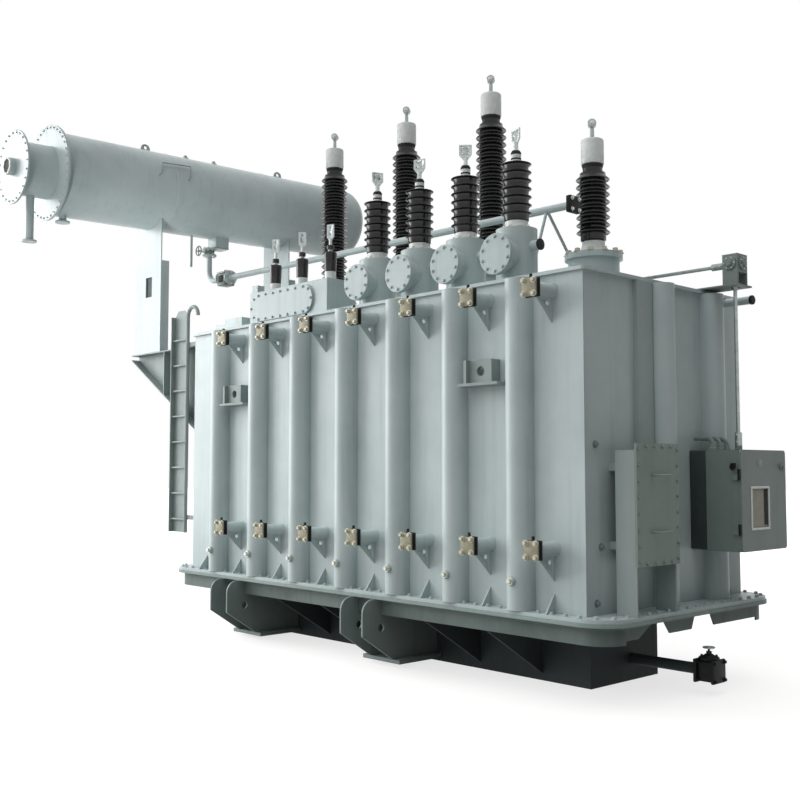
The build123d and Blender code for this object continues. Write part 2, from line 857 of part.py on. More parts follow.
def conservator_rear_end():
    """The dished rear end, a shell turned about the conservator's axis."""
    rim_y = conservator_front_y + conservator_flange_plate + conservator_length
    inner_radius = conservator_radius - conservator_plate
    inner_rise = conservator_dish - conservator_plate
    outline = [(conservator_radius * reach, conservator_dish * rise) for reach, rise in dish_shares]
    outline += [(inner_radius * reach, inner_rise * rise) for reach, rise in reversed(dish_shares)]
    rim = Plane(origin=(conservator_x, rim_y, axis_z(rim_y)), z_dir=(0, 1, conservator_rise_share))
    return [rim * turned(outline, 0, 0, 0)]


def tap_changer_chamber():
    """The small oil chamber of the tap changer ahead of the main end plate."""
    rear_y = conservator_front_y
    front_y = rear_y - chamber_length
    inner = across(front_y - overrun, rear_y + overrun, chamber_radius - chamber_plate)
    return [across(front_y, rear_y, chamber_radius) - inner]


def tap_changer_chamber_end():
    """The small chamber's bolted end plate with the oil level gauge."""
    rear_y = conservator_front_y - chamber_length
    front_y = rear_y - chamber_flange_plate
    gauge = across(front_y - gauge_depth, front_y, gauge_radius)
    return [across(front_y, rear_y, chamber_flange_radius) + gauge]


def hanging_pipe(y, radius, drop):
    """A flanged pipe that hangs down from the conservator's axis at y."""
    foot_z = axis_z(y) - drop
    pipe = upright(conservator_x, y, foot_z, radius, drop)
    flange_z = foot_z - pipe_flange_plate
    return pipe + upright(conservator_x, y, flange_z, pipe_flange_radius, pipe_flange_plate)


def conservator_pipes():
    """The pipes under both chambers and the breather pipe, each cut to the chamber it leaves."""
    chamber_pipe = hanging_pipe(chamber_pipe_y, chamber_pipe_radius, chamber_radius + chamber_pipe_drop)
    chamber_pipe -= across(conservator_front_y - chamber_length, conservator_front_y, chamber_radius)
    shell = conservator_outline()
    stub_y = conservator_front_y + conservator_flange_plate + 2 * pipe_flange_radius
    stub = hanging_pipe(stub_y, stub_radius, conservator_radius + stub_drop) - shell
    breather_height = conservator_radius + breather_drop
    breather_foot_z = axis_z(breather_y) - breather_height
    breather = upright(conservator_x, breather_y, breather_foot_z, breather_radius, breather_height) - shell
    return [chamber_pipe, stub, breather]


def conservator_post(y):
    """A slotted channel post whose top is cut to seat under the conservator."""
    left_x = conservator_x - post_width / 2
    right_x = conservator_x + post_width / 2
    front_y = y - post_plate / 2
    web = block(left_x, right_x, front_y, front_y + post_plate, post_foot_z, conservator_z)
    slot_x0 = conservator_x - post_slot_width / 2
    slot_z0 = post_slot_z - post_slot_height / 2
    slot_y1 = front_y + post_plate + overrun
    slot_x1 = slot_x0 + post_slot_width
    web -= block(slot_x0, slot_x1, front_y - overrun, slot_y1, slot_z0, slot_z0 + post_slot_height)
    for x in (left_x, right_x - post_plate):
        flange_y = front_y + post_plate
        web += block(x, x + post_plate, flange_y, flange_y + post_flange, post_foot_z, post_flange_top_z)
    return web - conservator_outline()


def conservator_bracket(y):
    """A triangular welded bracket from the left end wall to under a post, with its web at the rear edge."""
    tip_x = -end_x - bracket_reach
    beam_foot_z = post_foot_z - bracket_plate
    nose_z = beam_foot_z - bracket_nose
    web_outline = [(-end_x, beam_foot_z), (-end_x, bracket_wall_z), (tip_x, nose_z), (tip_x, beam_foot_z)]
    half = bracket_width / 2
    web = plate_along_y(web_outline, y + half - bracket_plate / 2, bracket_plate)
    beam = block(tip_x, -end_x, y - half, y + half, beam_foot_z, post_foot_z)
    strut_outline = [
        (tip_x, nose_z),
        (-end_x, bracket_wall_z),
        (-end_x, bracket_wall_z - bracket_plate),
        (tip_x, nose_z - bracket_plate),
    ]
    strut = plate_along_y(strut_outline, y, bracket_width)
    slope_share = (nose_z - bracket_wall_z) / bracket_reach
    stay_x1 = bracket_stay_x + bracket_plate
    stay_foot_z = bracket_wall_z + slope_share * (-end_x - stay_x1)
    stay = block(bracket_stay_x, stay_x1, y - half, y + half, stay_foot_z, beam_foot_z)
    return web + beam + strut + stay


def gas_line_z(x):
    """The gas pipe's axis level, which rises towards the conservator."""
    return gas_pipe_end_z + (gas_pipe_end_x - x) * gas_pipe_fall_share


def conservator_sump():
    """The sump under the conservator with the shut-off valve and the bent drop pipe to the gas relay."""
    box_foot_z = axis_z(sump_y) - conservator_radius - sump_drop
    x0 = conservator_x - sump_length / 2
    y0 = sump_y - sump_width / 2
    sump = block(x0, x0 + sump_length, y0, y0 + sump_width, box_foot_z, axis_z(sump_y))
    sump -= conservator_outline()
    valve_foot_z = box_foot_z - gas_valve_height
    valve = upright(gas_drop_x, gas_pipe_y, valve_foot_z, gas_valve_radius, gas_valve_height)
    bend_x = gas_drop_x + gas_elbow_radius
    bend_z = gas_line_z(bend_x)
    elbow_top_z = bend_z + gas_elbow_radius
    drop = upright(gas_drop_x, gas_pipe_y, elbow_top_z, gas_pipe_radius, valve_foot_z - elbow_top_z)
    mouth = Plane(origin=(gas_drop_x, gas_pipe_y, elbow_top_z)) * Circle(gas_pipe_radius)
    elbow = revolve(mouth, Axis((bend_x, gas_pipe_y, elbow_top_z), (0, -1, 0)), 90)
    relay_start_x = relay_x - relay_length / 2
    run_end = (relay_start_x, gas_pipe_y, gas_line_z(relay_start_x))
    run = rod((bend_x, gas_pipe_y, bend_z), run_end, gas_pipe_radius)
    cut_end_x = relay_start_x + 2 * overrun
    cut_y0 = gas_pipe_y - relay_height
    cut_y1 = gas_pipe_y + relay_height
    trim = block(relay_start_x, cut_end_x, cut_y0, cut_y1, bend_z - relay_height, elbow_top_z)
    return [sump + valve + drop + elbow + run - trim]


def gas_relay():
    """The gas relay, a box between two round flanges on the gas pipe."""
    z = gas_line_z(relay_x)
    start_x = relay_x - relay_length / 2
    end = relay_x + relay_length / 2
    half = relay_width / 2
    body_foot_z = z - relay_height / 2
    body_x0 = start_x + relay_flange_plate
    body_x1 = end - relay_flange_plate
    body_top_z = body_foot_z + relay_height
    body = block(body_x0, body_x1, gas_pipe_y - half, gas_pipe_y + half, body_foot_z, body_top_z)
    for x in (start_x, body_x1):
        body += rod((x, gas_pipe_y, z), (x + relay_flange_plate, gas_pipe_y, z), relay_flange_radius)
    return [body]


def gas_pipe():
    """The gas pipe over the cover with the flange at its far end."""
    start_x = relay_x + relay_length / 2
    start = (start_x, gas_pipe_y, gas_line_z(start_x))
    end = (gas_pipe_end_x, gas_pipe_y, gas_pipe_end_z)
    pipe = rod(start, end, gas_pipe_radius)
    flange_end_z = gas_line_z(gas_pipe_end_x + end_flange_plate)
    pipe += rod(end, (gas_pipe_end_x + end_flange_plate, gas_pipe_y, flange_end_z), end_flange_radius)
    trim_x0 = start_x - 2 * overrun
    half = relay_width / 2
    trim = block(trim_x0, start_x, gas_pipe_y - half, gas_pipe_y + half, start[2] - half, start[2] + half)
    return [pipe - trim]


def gas_pipe_brace():
    """An inverted V of round bar under the gas pipe, with one foot on the cover and one on a turret."""
    top = (brace_x, gas_pipe_y, gas_line_z(brace_x))
    turret_top_z = cover_top_z + hv_turret_height + hv_flange_plate
    vee = rod((brace_x, brace_front_y, cover_top_z), top, brace_radius)
    vee += rod((brace_x, brace_rear_y, turret_top_z), top, brace_radius)
    reach = 4 * brace_radius
    pipe_x0 = brace_x - reach
    pipe_x1 = brace_x + reach
    pipe_start = (pipe_x0, gas_pipe_y, gas_line_z(pipe_x0))
    vee -= rod(pipe_start, (pipe_x1, gas_pipe_y, gas_line_z(pipe_x1)), gas_pipe_radius)
    front_y0 = brace_front_y - reach
    rear_y0 = brace_rear_y - reach
    vee -= block(pipe_x0, pipe_x1, front_y0, front_y0 + 2 * reach, wall_top_z, cover_top_z)
    return [vee - block(pipe_x0, pipe_x1, rear_y0, rear_y0 + 2 * reach, cover_top_z, turret_top_z)]


def ladder():
    """The ladder with a backing sheet, its hooked tube rail and the brackets to the left end wall."""
    half = ladder_rail_width / 2
    top_z = ladder_foot_z + ladder_height
    sheet_y = ladder_y + half
    sheet_top_z = ladder_foot_z + ladder_sheet_height
    sheet_right_x = ladder_left_x + ladder_sheet_width
    outline = [
        (ladder_left_x, ladder_foot_z),
        (sheet_right_x, ladder_foot_z),
        (sheet_right_x, sheet_top_z - ladder_sheet_corner),
        (sheet_right_x - ladder_sheet_corner, sheet_top_z),
        (ladder_left_x + ladder_sheet_corner, sheet_top_z),
        (ladder_left_x, sheet_top_z - ladder_sheet_corner),
    ]
    body = plate_along_y(outline, sheet_y - ladder_sheet / 2, ladder_sheet)
    rail_top_z = sheet_top_z - ladder_sheet_corner
    rail_x1 = ladder_left_x + ladder_rail_plate
    body += block(ladder_left_x, rail_x1, ladder_y - half, sheet_y, ladder_foot_z, rail_top_z)
    body += upright(ladder_rail_x, ladder_y, ladder_foot_z, ladder_tube_radius, ladder_height)
    rung_count = int(ladder_sheet_height // rung_pitch)
    for i in range(rung_count):
        z = ladder_foot_z + rung_pitch * i + rung_pitch / 2
        body += rod((ladder_left_x, ladder_y, z), (ladder_rail_x, ladder_y, z), rung_radius)
    mouth = Plane(origin=(ladder_rail_x, ladder_y, top_z)) * Circle(ladder_tube_radius)
    hook_axis = Axis((ladder_rail_x + ladder_hook_radius, ladder_y, top_z), (0, 1, 0))
    body += revolve(mouth, hook_axis, 180)
    for share in ladder_bracket_shares:
        z = ladder_foot_z + ladder_height * share
        bracket_y1 = ladder_y + ladder_tube_radius
        bracket_y0 = bracket_y1 - ladder_rail_plate
        body += block(ladder_rail_x, -end_x, bracket_y0, bracket_y1, z, z + ladder_bracket_height)
    return [body]


def terminal_box():
    """The control cable box with its cheeks down to the flange, and the cable trunk down from the cover."""
    back_x = end_x + terminal_standoff
    front_x = back_x + terminal_depth
    y0 = terminal_y - terminal_width / 2
    y1 = terminal_y + terminal_width / 2
    top_z = terminal_foot_z + terminal_height
    box = block(back_x, front_x, y0, y1, terminal_foot_z, top_z)
    for y in (y0, y1 - terminal_cheek_plate):
        box += block(back_x, front_x, y, y + terminal_cheek_plate, wall_foot_z, terminal_foot_z)
    for share in terminal_arm_shares:
        arm_z = terminal_foot_z + terminal_height * share - terminal_arm_width / 2
        arm_y0 = y0 + terminal_arm_width
        arm_y1 = y1 - terminal_arm_width
        box += block(end_x, back_x, arm_y0, arm_y1, arm_z, arm_z + terminal_arm_width)
    box += block(end_x, end_x + trunk_depth, trunk_y, trunk_y + trunk_width, arm_z, wall_top_z)
    return [box]


def terminal_box_cover():
    x0 = end_x + terminal_standoff + terminal_depth
    y0 = terminal_y - terminal_width / 2 - terminal_cover_margin
    y1 = terminal_y + terminal_width / 2 + terminal_cover_margin
    z0 = terminal_foot_z - terminal_cover_margin
    z1 = terminal_foot_z + terminal_height + terminal_cover_rise
    return [block(x0, x0 + terminal_cover_plate, y0, y1, z0, z1)]


cabinet_front_x = cabinet_x + cabinet_depth
cabinet_far_y = cabinet_y + cabinet_width
cabinet_top_z = cabinet_foot_z + cabinet_height
door_x = cabinet_front_x + door_gap
hinge_x = door_x + door_plate / 2
hinge_y = cabinet_y - hinge_offset
hinge_levels = [cabinet_foot_z + cabinet_height * share for share in hinge_shares]
window_y0 = cabinet_y + cabinet_width * window_centre_share - window_width / 2
window_z0 = cabinet_foot_z + cabinet_height * window_foot_share


def motor_drive_box():
    """The open-fronted cabinet on two wall cheeks, with the shaft boss, a latch and fixed hinge halves."""
    shell = block(cabinet_x, cabinet_front_x, cabinet_y, cabinet_far_y, cabinet_foot_z, cabinet_top_z)
    inner_x = cabinet_x + cabinet_plate
    inner_y0 = cabinet_y + cabinet_plate
    inner_y1 = cabinet_far_y - cabinet_plate
    inner_z0 = cabinet_foot_z + cabinet_plate
    inner_z1 = cabinet_top_z - cabinet_plate
    shell -= block(inner_x, cabinet_front_x + overrun, inner_y0, inner_y1, inner_z0, inner_z1)
    for y in (cabinet_y + cabinet_cheek_inset, cabinet_far_y - cabinet_cheek_inset - cabinet_cheek_plate):
        shell += block(end_x, cabinet_x, y, y + cabinet_cheek_plate, cabinet_foot_z, cabinet_top_z)
    latch_y = cabinet_y - latch_reach
    shell += block(latch_x, latch_x + latch_length, latch_y, cabinet_y, latch_z, latch_z + latch_height)
    shell += upright(drive_x, drive_y, cabinet_top_z, coupling_radius, cabinet_boss_height)
    for z in hinge_levels:
        half = hinge_height / 2
        shell += upright(hinge_x, hinge_y, z, hinge_pin_radius, hinge_height)
        shell += upright(hinge_x, hinge_y, z, hinge_radius, half)
        arm_y0 = hinge_y - hinge_leaf
        leaf = block(cabinet_front_x - 4 * hinge_radius, cabinet_front_x, arm_y0, cabinet_y, z, z + half)
        arm = block(cabinet_front_x, hinge_x, arm_y0, hinge_y + hinge_leaf, z, z + half)
        shell += leaf + arm
    return [shell]


def motor_drive_door():
    """The door with its window opening, handle and the swinging hinge halves."""
    door = block(door_x, door_x + door_plate, cabinet_y, cabinet_far_y, cabinet_foot_z, cabinet_top_z)
    edges = door.edges().filter_by(Axis.X)
    door = fillet(edges, cabinet_corner)
    window_y1 = window_y0 + window_width
    window_z1 = window_z0 + window_height
    door -= block(door_x - overrun, door_x + door_plate + overrun, window_y0, window_y1, window_z0, window_z1)
    handle_y = cabinet_far_y - handle_inset
    handle_z = cabinet_foot_z + cabinet_height * handle_level_share
    handle_x = door_x + door_plate
    handle_x1 = handle_x + handle_reach
    door += block(handle_x, handle_x1, handle_y - handle_width, handle_y, handle_z, handle_z + handle_length)
    for z in hinge_levels:
        foot_z = z + hinge_height / 2 + hinge_clearance
        height = hinge_height / 2 - hinge_clearance
        knuckle = upright(hinge_x, hinge_y, foot_z, hinge_radius, height)
        leaf = block(hinge_x - hinge_leaf, hinge_x + hinge_leaf, hinge_y, cabinet_y, foot_z, foot_z + height)
        knuckle += leaf
        knuckle -= upright(hinge_x, hinge_y, z, hinge_pin_radius + hinge_clearance, hinge_height + overrun)
        door += knuckle
    return [door]


def motor_drive_window():
    """The pane in the door, held inside the opening's edges."""
    x0 = door_x + (door_plate - window_pane) / 2
    y1 = window_y0 + window_width
    return [block(x0, x0 + window_pane, window_y0, y1, window_z0, window_z0 + window_height)]


def drive_gear_box():
    """The bevel gear box on its shelf, with bosses for both shafts."""
    half_x = gear_box_length / 2
    half_y = gear_box_width / 2
    half_z = gear_box_height / 2
    body = Pos(drive_x, drive_y, drive_z) * Box(gear_box_length, gear_box_width, gear_box_height)
    boss_x = drive_x - half_x
    body += rod((boss_x - gear_boss_length, drive_y, drive_z), (boss_x, drive_y, drive_z), gear_boss_radius)
    body += upright(drive_x, drive_y, drive_z - half_z - gear_boss_length, gear_boss_radius, gear_boss_length)
    shelf_y0 = drive_y - shelf_width / 2
    shelf_x0 = end_x - shelf_inboard
    shelf_x1 = drive_x + shelf_outboard
    shelf_y1 = shelf_y0 + shelf_width
    shelf = block(shelf_x0, shelf_x1, shelf_y0, shelf_y1, cover_top_z, cover_top_z + shelf_plate)
    hole_radius = coupling_radius + shelf_hole_clearance
    shelf -= upright(drive_x, drive_y, cover_top_z - overrun, hole_radius, shelf_plate + 2 * overrun)
    for y in (drive_y - half_y, drive_y + half_y - pedestal_plate):
        stand_top_z = drive_z - half_z
        stand_foot_z = cover_top_z + shelf_plate
        shelf += block(drive_x - half_x, drive_x + half_x, y, y + pedestal_plate, stand_foot_z, stand_top_z)
    return [body + shelf]


def shaft(start, end):
    """A drive shaft with a coupling sleeve at both ends."""
    run = Vector(*end) - Vector(*start)
    step = run.normalized() * coupling_length
    first = tuple(Vector(*start) + step)
    last = tuple(Vector(*end) - step)
    bar = rod(start, end, shaft_radius)
    return bar + rod(start, first, coupling_radius) + rod(last, end, coupling_radius)


def vertical_drive_shaft():
    foot_z = cabinet_top_z + cabinet_boss_height + seat_gap
    top_z = drive_z - gear_box_height / 2 - gear_boss_length - seat_gap
    return [shaft((drive_x, drive_y, foot_z), (drive_x, drive_y, top_z))]


def horizontal_drive_shaft():
    start_x = head_x + head_gear_size / 2 + seat_gap
    end = drive_x - gear_box_length / 2 - gear_boss_length - seat_gap
    return [shaft((start_x, drive_y, drive_z), (end, drive_y, drive_z))]


def tap_changer_head():
    """The tap changer's head on the cover, with the gear that the drive shaft enters."""
    head = upright(head_x, drive_y, cover_top_z, head_flange_radius, head_flange_plate)
    body_z = cover_top_z + head_flange_plate
    head += upright(head_x, drive_y, body_z, head_radius, head_height - head_flange_plate)
    half = head_gear_size / 2
    gear_z1 = drive_z + head_gear_rise
    gear_z0 = cover_top_z + head_height
    head += block(head_x - half, head_x + half, drive_y - half, drive_y + half, gear_z0, gear_z1)
    return [head]


drain_bonnet_z = drain_z + drain_flange_height / 2
drain_stem_foot_z = drain_bonnet_z + drain_bonnet_height + drain_gland_height
wheel_foot_z = drain_stem_foot_z + wheel_rise


def drain_valve():
    """The drain pipe and its square-flanged valve, with the stem that the handwheel turns on."""
    body_x0 = drain_valve_x - drain_body_length / 2
    body_x1 = drain_valve_x + drain_body_length / 2
    valve = rod((trough_end_x, drain_y, drain_z), (body_x0, drain_y, drain_z), drain_pipe_radius)
    middle = Pos(drain_valve_x, drain_y, drain_z)
    valve += middle * Box(drain_body_length, drain_body_width, drain_flange_height)
    for x in (body_x0, body_x1 - drain_flange_plate):
        flange_middle = Pos(x + drain_flange_plate / 2, drain_y, drain_z)
        valve += flange_middle * Box(drain_flange_plate, drain_flange_width, drain_flange_height)
    valve += upright(drain_valve_x, drain_y, drain_bonnet_z, drain_bonnet_radius, drain_bonnet_height)
    gland_z = drain_bonnet_z + drain_bonnet_height
    valve += upright(drain_valve_x, drain_y, gland_z, drain_gland_radius, drain_gland_height)
    stem_height = wheel_rise + wheel_hub_height
    return [valve + upright(drain_valve_x, drain_y, drain_stem_foot_z, drain_stem_radius, stem_height)]


def drain_valve_handwheel():
    """The spoked handwheel, with a running clearance round the stem."""
    middle_z = wheel_foot_z + wheel_hub_height / 2
    rim_inner = wheel_radius - wheel_rim_width
    rim_foot_z = middle_z - wheel_rim_height / 2
    rim = upright(drain_valve_x, drain_y, rim_foot_z, wheel_radius, wheel_rim_height)
    rim -= upright(drain_valve_x, drain_y, rim_foot_z - overrun, rim_inner, wheel_rim_height + 2 * overrun)
    wheel = rim + upright(drain_valve_x, drain_y, wheel_foot_z, wheel_hub_radius, wheel_hub_height)
    spoke_reach = wheel_radius - wheel_rim_width / 2
    for i in range(wheel_spoke_count):
        turn = Rot(0, 0, 360 * i / wheel_spoke_count)
        spoke = rod((0, 0, 0), (spoke_reach, 0, 0), wheel_spoke_radius)
        wheel += Pos(drain_valve_x, drain_y, middle_z) * turn * spoke
    bore_radius = drain_stem_radius + hinge_clearance
    bore_foot_z = wheel_foot_z - overrun
    return [wheel - upright(drain_valve_x, drain_y, bore_foot_z, bore_radius, wheel_hub_height + 2 * overrun)]


os.makedirs("parts", exist_ok=True)
save("base_trough", base_trough())
save("base_tray", base_tray())
save("base_webs", base_webs())
save("pulling_lugs", pulling_lugs())
save("tank_flange", tank_flange())
save("front_wall", long_wall())
save("rear_wall", to_rear(long_wall()))
save("left_end_wall", end_wall(-1))
save("right_end_wall", drive_end_wall())
save("tank_cover", tank_cover())
save("front_stiffeners", front_stiffeners())
save("rear_stiffeners", to_rear(front_stiffeners()))
save("end_stiffeners", end_stiffeners())
save("flange_gussets", flange_gussets())
save("front_radiator_valves", radiator_valves())
save("rear_radiator_valves", to_rear(radiator_valves()))
save("lifting_lugs", lifting_lugs())
save("mv_turrets", [mv_turret(x) for x in mv_places])
save("mv_turret_covers", [mv_turret_cover(x) for x in mv_places])
save("mv_insulators", [mv_insulator(x) for x in mv_places])
save("mv_terminals", [mv_terminal(x) for x in mv_places])
save("lv_turret", lv_turret())
save("lv_turret_cover", lv_turret_cover())
save("lv_bushings", [lv_bushing(x) for x in lv_places])
save("hv_turrets", [hv_turret(x) for x in hv_places])
save("hv_insulators", [hv_insulator(i) for i in range(hv_phase_count + 1)])
save("hv_caps", [hv_cap(i) for i in range(hv_phase_count + 1)])
save("conservator_shell", conservator_shell())
save("conservator_front_end", conservator_front_end())
save("conservator_rear_end", conservator_rear_end())
save("tap_changer_chamber", tap_changer_chamber())
save("tap_changer_chamber_end", tap_changer_chamber_end())
save("conservator_pipes", conservator_pipes())
save("conservator_posts", [conservator_post(y) for y in (-support_y, support_y)])
save("conservator_brackets", [conservator_bracket(y) for y in (-support_y, support_y)])
save("conservator_sump", conservator_sump())
save("gas_relay", gas_relay())
save("gas_pipe", gas_pipe())
save("gas_pipe_brace", gas_pipe_brace())
save("ladder", ladder())
save("terminal_box", terminal_box())
save("terminal_box_cover", terminal_box_cover())
save("motor_drive_box", motor_drive_box())
save("motor_drive_door", motor_drive_door())
save("motor_drive_window", motor_drive_window())
save("drive_gear_box", drive_gear_box())
save("vertical_drive_shaft", vertical_drive_shaft())
save("horizontal_drive_shaft", horizontal_drive_shaft())
save("tap_changer_head", tap_changer_head())
save("drain_valve", drain_valve())
save("drain_valve_handwheel", drain_valve_handwheel())
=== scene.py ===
import math

import bpy
from mathutils import Matrix, Vector


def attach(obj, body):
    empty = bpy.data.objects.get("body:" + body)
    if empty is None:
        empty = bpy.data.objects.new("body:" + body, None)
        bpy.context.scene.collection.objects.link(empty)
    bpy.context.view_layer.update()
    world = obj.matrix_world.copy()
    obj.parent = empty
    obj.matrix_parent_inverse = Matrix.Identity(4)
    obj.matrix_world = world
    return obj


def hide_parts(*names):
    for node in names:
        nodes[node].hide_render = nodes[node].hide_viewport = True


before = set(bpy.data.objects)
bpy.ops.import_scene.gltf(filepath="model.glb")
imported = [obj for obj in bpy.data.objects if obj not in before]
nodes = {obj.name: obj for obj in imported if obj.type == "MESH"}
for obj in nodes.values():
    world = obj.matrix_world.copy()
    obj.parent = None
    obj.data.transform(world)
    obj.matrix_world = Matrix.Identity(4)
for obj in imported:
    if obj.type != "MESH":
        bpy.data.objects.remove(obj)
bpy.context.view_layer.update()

FULL_TURN = 2 * math.pi
QUARTER_TURN = math.pi / 2


# Places, in metres, read from the CAD nodes in the frame

def corners(name):
    """The low and the high corner of a CAD node."""
    box = nodes[name].bound_box
    return Vector(box[0]), Vector(box[6])


def middle(name):
    low, high = corners(name)
    return (low + high) / 2


def even(first, last, count):
    """Values at even steps, both ends included."""
    return [first + (last - first) * i / (count - 1) for i in range(count)]


def row(name, count):
    """The x of each axis in a row of round pieces along X, and the row's y."""
    low, high = corners(name)
    radius = (high.y - low.y) / 2
    return even(low.x + radius, high.x - radius, count), middle(name).y


RIB_COUNT = 7
RIB_HALF = 0.115
tank_end = corners("rear_wall")[1].x
tank_side = corners("rear_wall")[1].y
cover_top = corners("hv_turrets")[0].z
rib_low, rib_high = corners("rear_stiffeners")
rib_xs = even(rib_low.x + RIB_HALF, rib_high.x - RIB_HALF, RIB_COUNT)
bay_xs = [(here + there) / 2 for here, there in zip(rib_xs, rib_xs[1:] + [tank_end])]
hv_xs, hv_y = row("hv_insulators", 4)
mv_xs, mv_y = row("mv_insulators", 4)
lv_xs, lv_y = row("lv_bushings", 3)


# Materials: sRGB hex colours, and patterns on Object coordinates, each from its size in millimetres

def linear(text):
    """An sRGB hex colour as linear RGBA."""
    values = [int(text[i:i + 2], 16) / 255 for i in (1, 3, 5)]
    return [v / 12.92 if v <= 0.04045 else ((v + 0.055) / 1.055) ** 2.4 for v in values] + [1.0]


def per_metre(millimetres):
    """The noise scale that draws features of this size."""
    return 1000 / millimetres


def add(tree, kind, values=None, links=None, ramp=(), **fields):
    """One node with its fields, socket values, incoming links and, on a ramp, its stops."""
    made = tree.nodes.new("ShaderNode" + kind)
    for field, value in fields.items():
        setattr(made, field, value)
    for socket, value in (values or {}).items():
        made.inputs[socket].default_value = value
    for socket, source in (links or {}).items():
        tree.links.new(source, made.inputs[socket])
    for stop, (position, colour) in enumerate(ramp):
        made.color_ramp.elements[stop].position = position
        made.color_ramp.elements[stop].color = linear(colour)
    return made


def blank(name):
    material = bpy.data.materials.new(name)
    material.use_nodes = True
    tree = material.node_tree
    shader = tree.nodes["Principled BSDF"]
    place = add(tree, "TexCoord").outputs["Object"]
    return material, tree, shader, place


WORN_SHEEN = 0.22


def enamel(name, light, dark, grime_and_shade, roughness, clean_and_lit_above=1.15, dirty_and_shaded_below=0.62, dirt_and_shade_amount=0.4):
    """Alkyd enamel sprayed on welded plate: a soft sheen that weather has worn, clouded patches 770 mm
    across, faint runs 69 mm wide and 1250 mm long, slow waves 417 mm long where the welds pull the plate,
    and a darkening low down: dirt on most enamels, painted shade under the flange on the base enamel.
    Its orange peel is about 3 mm across, and drawn at 12 mm to show."""
    material, tree, shader, place = blank(name)
    patches = add(tree, "TexNoise", {"Scale": per_metre(770), "Detail": 5.0, "Roughness": 0.6},
                  {"Vector": place})
    tone = add(tree, "ValToRGB", links={"Fac": patches.outputs["Fac"]},
               ramp=((0.36, dark), (0.62, light)))
    run_scale = (per_metre(69.4), per_metre(69.4), per_metre(1250))
    drawn_out = add(tree, "Mapping", {"Scale": run_scale}, {"Vector": place})
    runs = add(tree, "TexNoise", {"Scale": 1.0, "Detail": 4.0},
               {"Vector": drawn_out.outputs["Vector"]})
    stain = add(tree, "MapRange", {"From Min": 0.54, "From Max": 0.78, "To Max": 0.2},
                {"Value": runs.outputs["Fac"]})
    stained = add(tree, "Mix", {"B": linear(grime_and_shade)},
                  {"Factor": stain.outputs["Result"], "A": tone.outputs["Color"]}, data_type="RGBA")
    height = add(tree, "SeparateXYZ", links={"Vector": place})
    # Darker towards the bottom: dirt on most enamels, painted shade on the base enamel's skirt under the
    # flange
    low = add(tree, "MapRange",
              {"From Min": clean_and_lit_above, "From Max": dirty_and_shaded_below, "To Max": dirt_and_shade_amount},
              {"Value": height.outputs["Z"]})
    patchy = add(tree, "Math", links={0: low.outputs["Result"], 1: patches.outputs["Fac"]},
                 operation="MULTIPLY")
    darkened = add(tree, "Mix", {"B": linear(grime_and_shade)},
                 {"Factor": patchy.outputs["Value"], "A": stained.outputs["Result"]}, data_type="RGBA")
    tree.links.new(darkened.outputs["Result"], shader.inputs["Base Color"])
    gloss = add(tree, "MapRange", {"To Min": roughness - 0.08, "To Max": roughness + 0.12},
                {"Value": runs.outputs["Fac"]})
    tree.links.new(gloss.outputs["Result"], shader.inputs["Roughness"])
    shader.inputs["Specular IOR Level"].default_value = WORN_SHEEN
    peel = add(tree, "TexNoise", {"Scale": per_metre(11.8), "Detail": 2.0}, {"Vector": place})
    waves = add(tree, "TexNoise", {"Scale": per_metre(417), "Detail": 1.0}, {"Vector": place})
    soft_edge = add(tree, "Bevel", {"Radius": 0.006}, samples=4)
    plate = add(tree, "Bump", {"Strength": 0.12, "Distance": 0.02},
                {"Height": waves.outputs["Fac"], "Normal": soft_edge.outputs["Normal"]})
    skin = add(tree, "Bump", {"Strength": 0.05, "Distance": 0.002},
               {"Height": peel.outputs["Fac"], "Normal": plate.outputs["Normal"]})
    tree.links.new(skin.outputs["Normal"], shader.inputs["Normal"])
    return material


def salt_glaze(name, light, dark):
    """Salt-glazed porcelain: a near-black body under a clear, dusty glaze, which clouds and ripples in
    patches 71 mm across."""
    material, tree, shader, place = blank(name)
    cloud = add(tree, "TexNoise", {"Scale": per_metre(71.4), "Detail": 3.0}, {"Vector": place})
    tone = add(tree, "ValToRGB", links={"Fac": cloud.outputs["Fac"]},
               ramp=((0.0, dark), (1.0, light)))
    tree.links.new(tone.outputs["Color"], shader.inputs["Base Color"])
    dust = add(tree, "MapRange", {"To Min": 0.16, "To Max": 0.4}, {"Value": cloud.outputs["Fac"]})
    tree.links.new(dust.outputs["Result"], shader.inputs["Roughness"])
    shader.inputs["IOR"].default_value = 1.54
    shader.inputs["Specular IOR Level"].default_value = 0.3
    shader.inputs["Coat Weight"].default_value = 0.15
    ripple = add(tree, "Bump", {"Strength": 0.05, "Distance": 0.004},
                 {"Height": cloud.outputs["Fac"]})
    tree.links.new(ripple.outputs["Normal"], shader.inputs["Normal"])
    return material


